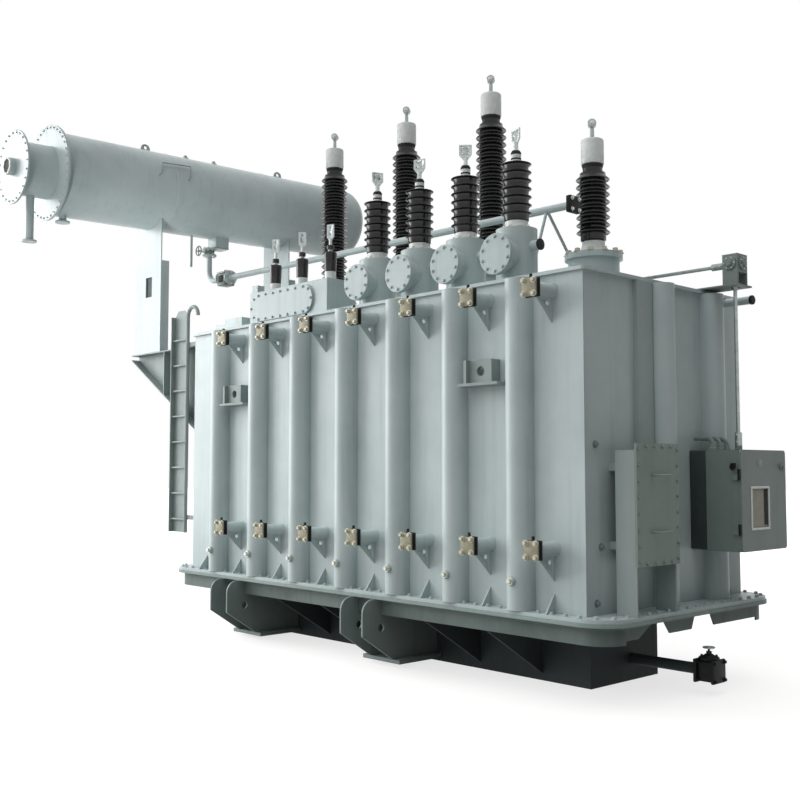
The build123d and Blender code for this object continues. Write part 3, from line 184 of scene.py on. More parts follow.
def grained(name, light, dark, roughness, metallic, patch):
    """A cast, plated or moulded surface: dull patches of a size in millimetres where it has weathered.
    Its grain is under 1 mm, and drawn at a ninth of the patches to show."""
    material, tree, shader, place = blank(name)
    cloud = add(tree, "TexNoise", {"Scale": per_metre(patch), "Detail": 5.0, "Roughness": 0.65},
                {"Vector": place})
    tone = add(tree, "ValToRGB", links={"Fac": cloud.outputs["Fac"]},
               ramp=((0.3, dark), (0.7, light)))
    tree.links.new(tone.outputs["Color"], shader.inputs["Base Color"])
    dull = add(tree, "MapRange", {"To Min": roughness - 0.1, "To Max": roughness + 0.15},
               {"Value": cloud.outputs["Fac"]})
    tree.links.new(dull.outputs["Result"], shader.inputs["Roughness"])
    shader.inputs["Metallic"].default_value = metallic
    shader.inputs["Specular IOR Level"].default_value = WORN_SHEEN
    pits = add(tree, "TexNoise", {"Scale": per_metre(patch / 9), "Detail": 2.0},
               {"Vector": place})
    rough = add(tree, "Bump", {"Strength": 0.12, "Distance": 0.002},
                {"Height": pits.outputs["Fac"]})
    tree.links.new(rough.outputs["Normal"], shader.inputs["Normal"])
    return material


# Grey-green enamel on the tank and all that is welded to it: pale, smooth, half gloss
tank_enamel = enamel("tank_enamel", "#B8C4C4", "#ADB9BA", "#7A8683", 0.34)
# The same enamel on the base flange, darker and dulled, and near black on the skirt under it: painted shade
# beneath the flange's overhang
base_enamel = enamel("base_enamel", "#8A9995", "#7C8B87", "#38423F", 0.50, 0.64, 0.60, 1.2)
# The same enamel on flame-cut lugs and the ladder: a shade darker, which is painted shade, and nearly matt
shaded_lug_enamel = enamel("shaded_lug_enamel", "#8E9A98", "#808C8A", "#4A524F", 0.50)
# The same enamel on the terminal box and its cable trunk: between the tank and the lugs in tone, darkened
# as painted shade on the box's shaded side
shaded_trunk_enamel = enamel("shaded_trunk_enamel", "#A0ABAA", "#96A2A1", "#7A8683", 0.45)
# The same enamel under the tank, on the drain pipe and inside openings, matt and near black: painted shade
# for parts that sit in deep shadow
painted_shade_enamel = enamel("painted_shade_enamel", "#3F4747", "#343B3C", "#24292A", 0.62)
# Darker enamel on folded sheet cabinets: even, with a low sheen
cabinet_enamel = enamel("cabinet_enamel", "#7F8A87", "#75807D", "#5E6864", 0.42)
# Greener enamel on bolted panels: even, with a low sheen
panel_enamel = enamel("panel_enamel", "#8A978F", "#818E86", "#636E68", 0.42)
# Black-glazed insulators: nearly no colour, with thin bright lines along the sheds
porcelain = salt_glaze("glazed_porcelain", "#161717", "#090A0A")
# Sand-cast aluminium, painted pale: chalky, hardly a metal to the eye
cast_aluminium = grained("cast_aluminium", "#D9DCDA", "#C4C9C7", 0.45, 0.15, 45.5)
# Tinned copper bar: a soft silvery shine, clouded by handling
tinned_copper = grained("tinned_copper", "#C9CFCE", "#A9B1B0", 0.35, 0.7, 33.3)
# Bright zinc-plated steel bolts: small pale glints
zinc_plate = grained("zinc_plate", "#D8DAD2", "#B9BBAE", 0.35, 0.6, 16.7)
# Yellow-passivated zinc on steel plate: a dull straw colour
yellow_zinc = grained("yellow_zinc", "#989480", "#7E7B69", 0.5, 0.2, 25)
# Weathered zinc on large bolts: pale straw, half matt
dull_zinc = grained("dull_zinc", "#C4C2B1", "#A8A695", 0.45, 0.35, 16.7)
# Black-japanned cast iron: dark, with a broken low sheen; behind the radiator blanks it also stands in as
# painted shade
black_iron = grained("black_iron", "#1C1E1E", "#0E0F0F", 0.5, 0.2, 25)
# Moulded rubber, on seals, caps and the dark faces of dials: dark grey, matt; also laid as painted shade in
# the window's recess and behind the radiator blanks
rubber = grained("moulded_rubber", "#2B2D2C", "#1D1F1E", 0.7, 0.0, 20)
# Hot-dip galvanised tube: grey metal, clouded by its spangle
galvanised = grained("galvanised_steel", "#AEB6B5", "#8E9797", 0.42, 0.75, 28.6)
# Beige lacquered mounting plate behind the window: plain and half matt
beige_lacquer = grained("beige_lacquer", "#A5A294", "#939084", 0.5, 0.0, 83.3)


def painted(piece, material):
    piece.data.materials.clear()
    piece.data.materials.append(material)
    return piece


node_finish = {
    "base_trough": painted_shade_enamel, "base_webs": painted_shade_enamel, "base_tray": base_enamel,
    "pulling_lugs": shaded_lug_enamel, "lifting_lugs": shaded_lug_enamel, "ladder": shaded_lug_enamel,
    "conservator_brackets": shaded_lug_enamel, "gas_relay": cabinet_enamel,
    "terminal_box": shaded_trunk_enamel, "terminal_box_cover": panel_enamel,
    "motor_drive_box": cabinet_enamel, "motor_drive_door": cabinet_enamel,
    "motor_drive_window": beige_lacquer, "drive_gear_box": cabinet_enamel,
    "vertical_drive_shaft": galvanised, "horizontal_drive_shaft": galvanised,
    "drain_valve": black_iron, "drain_valve_handwheel": black_iron,
    "hv_insulators": porcelain, "mv_insulators": porcelain, "lv_bushings": porcelain,
    "hv_caps": cast_aluminium, "mv_terminals": tinned_copper,
}
for node_name, node in nodes.items():
    painted(node, node_finish.get(node_name, tank_enamel))


# Modelling by hand: each helper leaves one finished mesh whose object sits at the origin

def deselect():
    if bpy.context.object and bpy.context.object.mode != "OBJECT":
        bpy.ops.object.mode_set(mode="OBJECT")
    bpy.ops.object.select_all(action="DESELECT")


def only(piece):
    deselect()
    piece.select_set(True)
    bpy.context.view_layer.objects.active = piece


def settle(piece, smooth=32):
    """Puts the place into the mesh and smooths what isn't a real edge."""
    only(piece)
    bpy.ops.object.transform_apply(location=True, rotation=True, scale=True)
    bpy.ops.object.shade_smooth_by_angle(angle=math.radians(smooth))
    return piece


def rounded_block(material, low, high, edge, steps=2):
    """A block between two corners with its edges rounded."""
    deselect()
    low, high = Vector(low), Vector(high)
    bpy.ops.mesh.primitive_cube_add(size=1, location=(low + high) / 2)
    piece = bpy.context.object
    piece.scale = high - low
    bpy.ops.object.transform_apply(location=False, rotation=False, scale=True)
    bpy.ops.object.mode_set(mode="EDIT")
    bpy.ops.mesh.select_all(action="SELECT")
    bpy.ops.mesh.bevel(offset=edge, segments=steps, affect="EDGES")
    return painted(settle(piece), material)


def drawn(points):
    """A vertex extruded along points, left in edit mode with the whole line selected."""
    deselect()
    bpy.ops.mesh.primitive_plane_add(size=0.01)
    bpy.ops.object.mode_set(mode="EDIT")
    bpy.ops.mesh.select_all(action="SELECT")
    bpy.ops.mesh.merge(type="CENTER")
    bpy.ops.transform.translate(value=points[0])
    for here, there in zip(points, points[1:]):
        step = [b - a for a, b in zip(here, there)]
        bpy.ops.mesh.extrude_region_move(TRANSFORM_OT_translate={"value": step})
    bpy.ops.mesh.select_all(action="SELECT")
    return bpy.context.object


def turned(material, profile, steps=40):
    """A shape spun about Z from its (radius, height) profile, foot first."""
    piece = drawn([(radius, 0, height) for radius, height in profile])
    bpy.ops.mesh.spin(steps=steps, angle=FULL_TURN, center=(0, 0, 0), axis=(0, 0, 1))
    bpy.ops.mesh.select_all(action="SELECT")
    bpy.ops.mesh.remove_doubles(threshold=0.0001)
    bpy.ops.mesh.normals_make_consistent(inside=False)
    return painted(settle(piece), material)


def sheet(material, outline, thick):
    """A flat plate of its (x, y) outline, raised from z = 0."""
    piece = drawn([(x, y, 0) for x, y in outline])
    bpy.ops.mesh.edge_face_add()
    bpy.ops.mesh.extrude_region_move(TRANSFORM_OT_translate={"value": (0, 0, thick)})
    bpy.ops.mesh.select_all(action="SELECT")
    bpy.ops.mesh.normals_make_consistent(inside=False)
    return painted(settle(piece), material)


def stood(name, data):
    """A new object in the scene, at the origin."""
    thing = bpy.data.objects.new(name, data)
    bpy.context.scene.collection.objects.link(thing)
    return thing


def bar(material, points, radius, sides=12):
    """A round bar swept along points with mitred corners, by a curve's bevel."""
    curve = bpy.data.curves.new("bar", "CURVE")
    curve.dimensions = "3D"
    curve.bevel_depth = radius
    curve.bevel_resolution = sides // 4
    curve.use_fill_caps = True
    line = curve.splines.new("POLY")
    line.points.add(len(points) - 1)
    for spot, point in zip(line.points, points):
        spot.co = (*point, 1)
    only(stood("bar", curve))
    bpy.ops.object.convert(target="MESH")
    return painted(settle(bpy.context.object), material)


def drilled(piece, centre, radius):
    """Cuts a round hole through a plate, along Z."""
    deselect()
    bpy.ops.mesh.primitive_cylinder_add(vertices=20, radius=radius, depth=0.1, location=centre)
    cutter = settle(bpy.context.object)
    hole = piece.modifiers.new("hole", "BOOLEAN")
    hole.object = cutter
    hole.solver = "EXACT"
    only(piece)
    bpy.ops.object.modifier_apply(modifier="hole")
    bpy.data.objects.remove(cutter)


def arc(centre, start, end, steps=8):
    """Points of a quarter bend about a centre, from one point to another."""
    centre, start, end = Vector(centre), Vector(start), Vector(end)
    turns = even(0, QUARTER_TURN, steps + 1)
    return [centre + (start - centre) * math.cos(t) + (end - centre) * math.sin(t) for t in turns]


def ring_of(count, radius, turn=0.0):
    """Points round a circle in the XY plane."""
    angles = [turn + FULL_TURN * i / count for i in range(count)]
    return [(radius * math.cos(angle), radius * math.sin(angle)) for angle in angles]


def shift(x, y, z):
    return Matrix.Translation((x, y, z))


def turned_about(degrees):
    return Matrix.Rotation(math.radians(degrees), 4, "Z")


def facing(direction):
    """Turns what was modelled upright so that its top faces the direction."""
    return Vector((0, 0, 1)).rotation_difference(Vector(direction)).to_matrix().to_4x4()


AHEAD = facing((0, -1, 0))
TO_DRIVE_END = facing((1, 0, 0))
# Stands a plate's outline up, with its raised face towards the front
STOOD_UP = Matrix.Rotation(QUARTER_TURN, 4, "X")


def raised(spots, height=0.0):
    """Placings at (x, y) points, all at one height."""
    return [shift(x, y, height) for x, y in spots]


def each(seats, spots):
    """Every spot's placing at every seat."""
    return [seat @ spot for seat in seats for spot in spots]


def moved(piece, placing):
    piece.data.transform(placing)
    return piece


def joined(pieces):
    deselect()
    for piece in pieces:
        piece.select_set(True)
    bpy.context.view_layer.objects.active = pieces[0]
    if len(pieces) > 1:
        bpy.ops.object.join()
    return bpy.context.object


def copied(piece):
    return stood(piece.name, piece.data.copy())


def spread(piece, placings):
    """Copies of one modelled piece, each with its own mesh, joined at their places."""
    copies = [moved(copied(piece), placing) for placing in placings]
    bpy.data.objects.remove(piece)
    return joined(copies)


def fitted(piece, name, body="tank", stands_for=()):
    """Names a finished piece, gives it its body and hides the CAD nodes that it stands for."""
    piece.name = name
    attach(piece, body)
    if stands_for:
        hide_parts(*stands_for)


def hex_bolt(material, across):
    """A hexagon head with a chamfered crown on a round washer, head upwards."""
    deselect()
    bpy.ops.mesh.primitive_cylinder_add(vertices=6, radius=across / 2, depth=across * 0.5,
                                        location=(0, 0, across * 0.36))
    head = bpy.context.object
    bpy.ops.object.mode_set(mode="EDIT")
    bpy.ops.mesh.select_all(action="DESELECT")
    bpy.ops.object.mode_set(mode="OBJECT")
    for face in head.data.polygons:
        face.select = face.normal.z > 0.9
    bpy.ops.object.mode_set(mode="EDIT")
    bpy.ops.mesh.inset(thickness=across * 0.09)
    bpy.ops.transform.translate(value=(0, 0, across * 0.07))
    settle(head, 20)
    bpy.ops.mesh.primitive_cylinder_add(vertices=14, radius=across * 0.72, depth=across * 0.14,
                                        location=(0, 0, across * 0.06))
    washer = settle(bpy.context.object)
    return painted(joined([head, washer]), material)


def bolts(name, placings, across, material, body="tank"):
    fitted(spread(hex_bolt(material, across), placings), name, body)


# High-voltage bushings, on the rear row of turrets: three phases, then the neutral

HV_CORE = 0.118
HV_SHED_TIP = 0.156
HV_FOOT_TALL = 0.119
HV_SHED_FOOT = 0.195
HV_NECK = 0.092
HV_NECK_TALL = 0.08
PHASE_SHEDS = 18
PHASE_LENGTH = 1.345
NEUTRAL_SHEDS = 8
NEUTRAL_LENGTH = 0.57
HV_FLANGE_BOLT_CIRCLE = 0.242
HV_CLAMP_BOLT_CIRCLE = 0.137
HV_CLAMP_TALL = 0.02


def hv_column(sheds, length):
    """Porcelain with rain sheds: each has a sloped top, a round rim and a hollowed underside."""
    pitch = length / sheds
    reach = HV_SHED_TIP - HV_CORE
    profile = [(0, HV_FOOT_TALL), (0.104, HV_FOOT_TALL), (HV_CORE, HV_FOOT_TALL + 0.016)]
    for i in range(sheds):
        z = HV_SHED_FOOT + pitch * i
        profile += [
            (HV_CORE, z + pitch * 0.10), (HV_CORE + reach * 0.45, z + pitch * 0.17),
            (HV_SHED_TIP - 0.006, z + pitch * 0.06), (HV_SHED_TIP, z + pitch * 0.12),
            (HV_SHED_TIP - 0.004, z + pitch * 0.22), (HV_CORE + reach * 0.35, z + pitch * 0.48),
            (HV_CORE + 0.003, z + pitch * 0.66),
        ]
    sheds_end = HV_SHED_FOOT + length
    top = sheds_end + HV_NECK_TALL
    profile += [(HV_CORE, sheds_end), (HV_NECK, sheds_end + 0.004), (HV_NECK, top), (0, top)]
    return turned(porcelain, profile, 44)


def hv_foot():
    """The pale cone that clamps the porcelain to its flange."""
    return turned(cast_aluminium, [
        (0, 0), (0.15, 0), (0.15, HV_CLAMP_TALL), (0.145, 0.025), (0.126, 0.03), (0.112, 0.07),
        (0.104, 0.1), (0.106, 0.105), (0.106, HV_FOOT_TALL), (0, HV_FOOT_TALL),
    ], 44)


def hv_head():
    """The expansion head: a plain pale can with rolled edges over a dark seal, a stud and its clamp."""
    seal = turned(rubber, [(0.07, -0.034), (0.092, -0.034), (0.1, -0.004), (0.1, 0.004), (0.07, 0.004)])
    can = turned(cast_aluminium, [
        (0, 0), (0.098, 0), (0.104, 0.006), (0.106, 0.014), (0.106, 0.222), (0.103, 0.232), (0.096, 0.239),
        (0.06, 0.24), (0, 0.24),
    ])
    stud = turned(galvanised, [
        (0, 0.238), (0.03, 0.238), (0.03, 0.252), (0.021, 0.256), (0.018, 0.36), (0, 0.362),
    ], 20)
    half = 0.035
    clamp_axis = shift(0, 0, 0.395) @ facing((0.6, -0.8, 0))
    clamp = turned(galvanised, [
        (0, -half), (0.034, -half), (0.04, -0.029), (0.04, 0.029), (0.034, half), (0, half),
    ], 28)
    nut = hex_bolt(zinc_plate, 0.034)
    return joined([seal, can, stud, moved(clamp, clamp_axis), moved(nut, clamp_axis @ shift(0, 0, half))])


hv_seats = [shift(x, hv_y, corners("hv_turrets")[1].z) for x in hv_xs]
hv_lengths = [PHASE_LENGTH] * 3 + [NEUTRAL_LENGTH]
hv_tops = [shift(0, 0, HV_SHED_FOOT + length + HV_NECK_TALL) for length in hv_lengths]
phases = spread(hv_column(PHASE_SHEDS, PHASE_LENGTH), hv_seats[:3])
neutral = moved(hv_column(NEUTRAL_SHEDS, NEUTRAL_LENGTH), hv_seats[3])
fitted(joined([phases, neutral]), "hv_porcelain", stands_for=["hv_insulators"])
fitted(spread(hv_foot(), hv_seats), "hv_foot_cones")
fitted(spread(hv_head(), [seat @ top for seat, top in zip(hv_seats, hv_tops)]), "hv_heads",
       stands_for=["hv_caps"])
hv_flange_ring = raised(ring_of(12, HV_FLANGE_BOLT_CIRCLE))
bolts("hv_flange_bolts", each(hv_seats, hv_flange_ring), 0.048, dull_zinc)
hv_clamp_ring = raised(ring_of(8, HV_CLAMP_BOLT_CIRCLE, 0.2), HV_CLAMP_TALL)
bolts("hv_clamp_bolts", each(hv_seats, hv_clamp_ring), 0.022, zinc_plate)


# Medium-voltage bushings, on the front row of turrets

MV_CORE = 0.106
MV_SHEDS = 7
MV_PITCH = 0.071
MV_SHED_FOOT = 0.078
MV_TOP = 0.577
MV_CLAMP_BOLT_CIRCLE = 0.109
MV_CLAMP_LEVEL = 0.02
MV_FLAG_TURNS = (70, 20, 46, -15)
PALM_THICK = 0.014


def mv_column():
    """A straight porcelain body with a thin rain shed at the head of each pitch."""
    profile = [(0, 0.07), (0.1, 0.07), (MV_CORE, MV_SHED_FOOT)]
    for i in range(MV_SHEDS):
        z = MV_SHED_FOOT + MV_PITCH * i
        profile += [
            (MV_CORE, z + 0.01), (0.107, z + 0.036), (0.112, z + 0.05), (0.128, z + 0.057),
            (0.132, z + 0.061), (0.129, z + 0.065), (0.11, z + 0.069),
        ]
    return turned(porcelain, profile + [(0.05, MV_TOP), (0, MV_TOP)])


def mv_foot():
    """The pale cone that clamps the porcelain to its turret."""
    return turned(cast_aluminium, [
        (0, 0), (0.12, 0), (0.12, 0.018), (0.116, 0.022), (0.104, 0.024), (0.098, 0.05), (0.099, 0.062),
        (0.099, 0.074), (0, 0.074),
    ])


def palm(stem, root, half, shoulder, height, holes, hole_radius):
    """A flat terminal that widens from its stem, drilled and stood up over z = 0."""
    plate = sheet(tinned_copper, [
        (-stem, -root), (stem, -root), (half, shoulder), (half, height), (-half, height), (-half, shoulder),
    ], PALM_THICK)
    for x, y in holes:
        drilled(plate, (x, y, PALM_THICK / 2), hole_radius)
    return moved(plate, shift(0, PALM_THICK / 2, 0) @ STOOD_UP)


def mv_flag():
    """A ringed neck with dark seals, a stem and a drilled palm."""
    neck = 0.044
    stem = 0.02
    foot = 0.18
    top = foot * 0.62
    half = 0.0575
    height = 0.125
    collar = turned(cast_aluminium, [
        (0, 0), (neck, 0), (neck, top * 0.28), (neck * 0.9, top * 0.3), (neck * 0.9, top * 0.4),
        (neck, top * 0.42), (neck, top * 0.7), (0, top * 0.7),
    ], 28)
    dome = turned(rubber, [
        (0, top * 0.7), (neck * 1.02, top * 0.7), (neck * 1.02, top * 0.86), (neck * 0.8, top), (0, top),
    ], 28)
    seal = turned(rubber, [
        (neck * 0.8, top * 0.29), (neck * 1.01, top * 0.29), (neck * 1.01, top * 0.41),
        (neck * 0.8, top * 0.41),
    ], 28)
    pin = turned(tinned_copper, [
        (0, top * 0.98), (stem * 1.5, top * 0.98), (stem * 1.5, top * 1.06), (stem, top * 1.1),
        (stem, foot + 0.01), (0, foot + 0.01),
    ], 20)
    holes = [(x, y) for x in (-0.48 * half, 0.48 * half) for y in (0.05, height - 0.024)]
    flag = moved(palm(stem, 0.012, half, 0.035, height, holes, 0.007), shift(0, 0, foot))
    return joined([collar, dome, seal, pin, flag])


mv_seats = [shift(x, mv_y, corners("mv_turrets")[1].z) for x in mv_xs]
mv_flag_places = [seat @ shift(0, 0, MV_TOP - 0.002) @ turned_about(turn)
                  for seat, turn in zip(mv_seats, MV_FLAG_TURNS)]
fitted(spread(mv_column(), mv_seats), "mv_porcelain", stands_for=["mv_insulators"])
fitted(spread(mv_foot(), mv_seats), "mv_foot_cones")
mv_clamp_ring = raised(ring_of(8, MV_CLAMP_BOLT_CIRCLE, 0.2), MV_CLAMP_LEVEL)
bolts("mv_clamp_bolts", each(mv_seats, mv_clamp_ring), 0.024, zinc_plate)
fitted(spread(mv_flag(), mv_flag_places), "mv_flags", stands_for=["mv_terminals"])


# Covers and plugs on the front row of turrets

BOSS_REACH = 0.25
BOSS_LEVEL = 0.32
MV_COVER_BOLT_CIRCLE = 0.146
LV_COVER_BOLT_INSET = 0.022


def round_cover():
    """A flat bolted blank with a chamfered edge."""
    return turned(tank_enamel, [
        (0, 0), (0.172, 0), (0.174, 0.003), (0.174, 0.02), (0.171, 0.024), (0, 0.024),
    ], 48)


def boss_plug():
    return turned(rubber, [
        (0, 0), (0.046, 0), (0.049, 0.004), (0.049, 0.014), (0.04, 0.018), (0, 0.018),
    ], 28)


def obround(length, height):
    """Points round an obround: two straight rows and three at each round end."""
    radius = height / 2
    straight = length / 2 - radius
    spots = [(x, side * radius) for x in even(-straight, straight, 7) for side in (1, -1)]
    for side in (-1, 1):
        for turn in (-50, 0, 50):
            angle = math.radians(turn)
            spots.append((side * (straight + radius * math.cos(angle)), radius * math.sin(angle)))
    return spots


boss_places = [shift(x + BOSS_REACH, mv_y, cover_top + BOSS_LEVEL) @ TO_DRIVE_END for x in mv_xs]
fitted(spread(boss_plug(), boss_places), "mv_boss_plugs")
mv_cover_back = corners("mv_turret_covers")[1].y
mv_cover_level = middle("mv_turret_covers").z
cover_faces = [shift(x, mv_cover_back, mv_cover_level) @ AHEAD for x in mv_xs]
fitted(spread(round_cover(), cover_faces), "mv_round_covers", stands_for=["mv_turret_covers"])
cover_ring = raised(ring_of(10, MV_COVER_BOLT_CIRCLE, 0.31), 0.023)
bolts("mv_cover_bolts", each(cover_faces, cover_ring), 0.024, tank_enamel)

lv_low, lv_high = corners("lv_turret_cover")
lv_bolt_inset = Vector((1, 1, 1)) * LV_COVER_BOLT_INSET
lv_bolt_span = (lv_high - lv_bolt_inset) - (lv_low + lv_bolt_inset)
lv_cover_ring = obround(lv_bolt_span.x, lv_bolt_span.z)
lv_cover_at = middle("lv_turret_cover")
lv_bolt_places = [shift(lv_cover_at.x + x, lv_low.y, lv_cover_at.z + z) @ AHEAD
                  for x, z in lv_cover_ring]
bolts("lv_cover_bolts", lv_bolt_places, 0.022, tank_enamel)


# Low-voltage bushings, on the long box

LV_TURNS = (35, 50, 20)
LV_PALM_FOOT = 0.44
LV_FOOT_BOLT_CIRCLE = 0.067


def lv_bushing():
    """A smooth black insulator on a pale clamped foot, under a black cap and a drilled palm."""
    foot = turned(cast_aluminium, [
        (0, 0), (0.078, 0), (0.078, 0.018), (0.074, 0.022), (0.06, 0.026), (0.058, 0.1), (0.054, 0.105),
        (0, 0.105),
    ], 32)
    body = turned(porcelain, [
        (0, 0.1), (0.056, 0.1), (0.06, 0.108), (0.066, 0.27), (0.065, 0.294), (0.057, 0.304),
        (0.024, 0.306), (0, 0.306),
    ], 32)
    neck = turned(cast_aluminium, [(0, 0.3), (0.024, 0.3), (0.024, 0.331), (0, 0.331)], 24)
    cap = turned(porcelain, [
        (0, 0.33), (0.034, 0.33), (0.037, 0.335), (0.037, 0.366), (0.03, 0.375), (0, 0.376),
    ], 24)
    stem = turned(tinned_copper, [(0, 0.37), (0.016, 0.37), (0.016, 0.445), (0, 0.445)], 18)
    flag = palm(0.016, 0.01, 0.04, 0.02, 0.15, [(0, 0.05), (0, 0.12)], 0.009)
    return joined([foot, body, neck, cap, stem, moved(flag, shift(0, 0, LV_PALM_FOOT))])


lv_seat = corners("lv_bushings")[0].z
lv_places = [shift(x, lv_y, lv_seat) @ turned_about(turn) for x, turn in zip(lv_xs, LV_TURNS)]
fitted(spread(lv_bushing(), lv_places), "lv_bushing_set", stands_for=["lv_bushings"])
lv_foot_ring = raised(ring_of(4, LV_FOOT_BOLT_CIRCLE, 0.5), 0.02)
bolts("lv_foot_bolts", each(lv_places, lv_foot_ring), 0.016, zinc_plate)


# Radiator valves, each a blanked butterfly valve with its stub pipe

VALVE_LEVELS = (1.18, 3.18)
STUD_X = 0.05
STUD_Y = 0.053
GUSSET_THICK = 0.012


def radiator_valve():
    """Modelled with its pipe along +Z, from the wall at z = 0 out to the blank."""
    pipe = turned(tank_enamel, [
        (0, 0), (0.064, 0), (0.058, 0.01), (0.055, 0.016), (0.055, 0.226), (0, 0.226),
    ], 24)
    # The flange and the valve body behind the blank are near black: partly their own dark colour, partly
    # painted shade where the blank shades them
    flange = rounded_block(rubber, (-0.072, -0.075, 0.222), (0.072, 0.075, 0.236), 0.006)
    body = rounded_block(black_iron, (-0.064, -0.067, 0.236), (0.064, 0.067, 0.262), 0.008)
    blank_plate = rounded_block(yellow_zinc, (-0.07, -0.073, 0.262), (0.07, 0.073, 0.28), 0.006)
    spindle = turned(rubber, [
        (0, 0), (0.02, 0), (0.02, 0.012), (0.012, 0.016), (0.012, 0.04), (0, 0.042),
    ], 14)
    moved(spindle, shift(0, 0.064, 0.249) @ facing((0, 1, 0)))
    gusset = sheet(tank_enamel, [(0, 0), (0.2, 0), (0.2, -0.06), (0, -0.25)], GUSSET_THICK)
    drilled(gusset, (0.06, -0.1, GUSSET_THICK / 2), 0.02)
    moved(gusset, shift(0.005, 0, 0) @ Matrix.Rotation(-QUARTER_TURN, 4, "Y"))
    studs = [moved(hex_bolt(dull_zinc, 0.036), shift(x, y, 0.278))
             for x in (-STUD_X, STUD_X) for y in (-STUD_Y, STUD_Y)]
    return joined([pipe, flange, body, blank_plate, spindle, gusset] + studs)


valve_spots = [(x, z) for z in VALVE_LEVELS for x in bay_xs]
front_valves = radiator_valve()
rear_valves = copied(front_valves)
front_places = [shift(x, -tank_side, z) @ STOOD_UP for x, z in valve_spots]
rear_places = [shift(x, tank_side, z) @ turned_about(180) @ STOOD_UP for x, z in valve_spots]
fitted(spread(front_valves, front_places), "front_valve_set",
       stands_for=["front_radiator_valves"])
fitted(spread(rear_valves, rear_places), "rear_valve_set",
       stands_for=["rear_radiator_valves"])


# A plug near the foot of each rib, and the bell flange's bolts in one row all round

RIB_PLUG_LEVEL = 0.92
FLANGE_BOLT_INSET = 0.05
FLANGE_BOLT_PITCH = 0.13
FLANGE_CORNER = 0.25


def rib_plug():
    """A round boss with a hexagon plug, along +Z."""
    boss = turned(tank_enamel, [(0, -0.006), (0.036, -0.006), (0.036, 0.016), (0.032, 0.02), (0, 0.02)], 24)
    return joined([boss, moved(hex_bolt(zinc_plate, 0.042), shift(0, 0, 0.019))])


def flange_row(across_x, across_y):
    """Points round a rectangle with round corners, two on each corner."""
    straight_x = across_x - FLANGE_CORNER
    straight_y = across_y - FLANGE_CORNER
    xs = even(-straight_x, straight_x, int(2 * straight_x / FLANGE_BOLT_PITCH) + 1)
    ys = even(-straight_y, straight_y, int(2 * straight_y / FLANGE_BOLT_PITCH) + 1)
    spots = [(x, side * across_y) for x in xs for side in (-1, 1)]
    spots += [(side * across_x, y) for y in ys for side in (-1, 1)]
    for side_x in (-1, 1):
        for side_y in (-1, 1):
            for turn in (30, 60):
                reach_x = straight_x + FLANGE_CORNER * math.cos(math.radians(turn))
                reach_y = straight_y + FLANGE_CORNER * math.sin(math.radians(turn))
                spots.append((side_x * reach_x, side_y * reach_y))
    return spots


rib_places = [shift(x, side * rib_high.y, RIB_PLUG_LEVEL) @ facing((0, side, 0))
              for x in rib_xs for side in (-1, 1)]
fitted(spread(rib_plug(), rib_places), "rib_plugs")
tray_high = corners("base_tray")[1]
bell_row = flange_row(tray_high.x - FLANGE_BOLT_INSET, tray_high.y - FLANGE_BOLT_INSET)
bolts("bell_flange_bolts", raised(bell_row, corners("tank_flange")[1].z), 0.03, tank_enamel)


# Conservator: its axis rises a little to the rear

OIL_FRONT = -2.34
OIL_FRONT_LEVEL = 5.27
OIL_RISE = 0.023
OIL_RADIUS = 0.49
MAIN_FLANGE_THICK = 0.03
MAIN_BOLT_CIRCLE = 0.53
CHAMBER_FACE = OIL_FRONT - 0.41
CHAMBER_FLANGE_THICK = 0.022
CHAMBER_BOLT_CIRCLE = 0.395
GAUGE_FACE = OIL_FRONT - 0.47
WELD_YS = (-0.86, 0.6, 2.03)
PLUG_YS = (-0.49, -0.06)
EAR_YS = (-1.07, 0.98)
POST_YS = (-0.98, 0.98)
EAR_THICK = 0.016
# The grab bar's points on the shell: y, degrees round it from the drive end, and height over it
GRAB_POINTS = [
    (-1.14, 9, -0.006), (-1.12, 12, 0.03), (-1.1, 20, 0.032), (-1.08, 29, 0.03),
    (-0.68, 32, 0.03), (-0.7, 22, 0.032), (-0.72, 12, 0.03), (-0.73, 9, -0.006),
]
oil_x = middle("conservator_shell").x


def oil_level(y):
    return OIL_FRONT_LEVEL + (y - OIL_FRONT) * OIL_RISE


def on_oil_axis(y, direction):
    return shift(oil_x, y, oil_level(y)) @ facing((0, direction, direction * OIL_RISE))


def on_oil_top(y):
    return shift(oil_x, y, oil_level(y) + OIL_RADIUS - 0.002)


def on_shell(y, degrees, height):
    turn = math.radians(degrees)
    reach = OIL_RADIUS + height
    return (oil_x + reach * math.cos(turn), y, oil_level(y) + reach * math.sin(turn))


def weld_bead(radius):
    """A raised weld round a shell."""
    return turned(tank_enamel, [
        (radius - 0.004, -0.009), (radius + 0.002, -0.006), (radius + 0.004, 0), (radius + 0.002, 0.006),
        (radius - 0.004, 0.009),
    ], 64)


def filler_plug():
    """A threaded boss with a hexagon plug."""
    boss = turned(tank_enamel, [(0, -0.01), (0.045, -0.01), (0.045, 0.025), (0.04, 0.03), (0, 0.03)], 24)
    return joined([boss, moved(hex_bolt(tank_enamel, 0.05), shift(0, 0, 0.028))])


def lifting_ear():
    """A plate with a round eye, which stands along the shell."""
    turns = [math.radians(degrees) for degrees in range(0, 181, 20)]
    crown = [(0.06 * math.cos(turn), 0.05 + 0.05 * math.sin(turn)) for turn in turns]
    ear = sheet(tank_enamel, [(-0.08, -0.02), (0.08, -0.02)] + crown, EAR_THICK)
    drilled(ear, (0, 0.055, EAR_THICK / 2), 0.022)
    return moved(ear, TO_DRIVE_END @ turned_about(90) @ shift(0, 0, -EAR_THICK / 2))


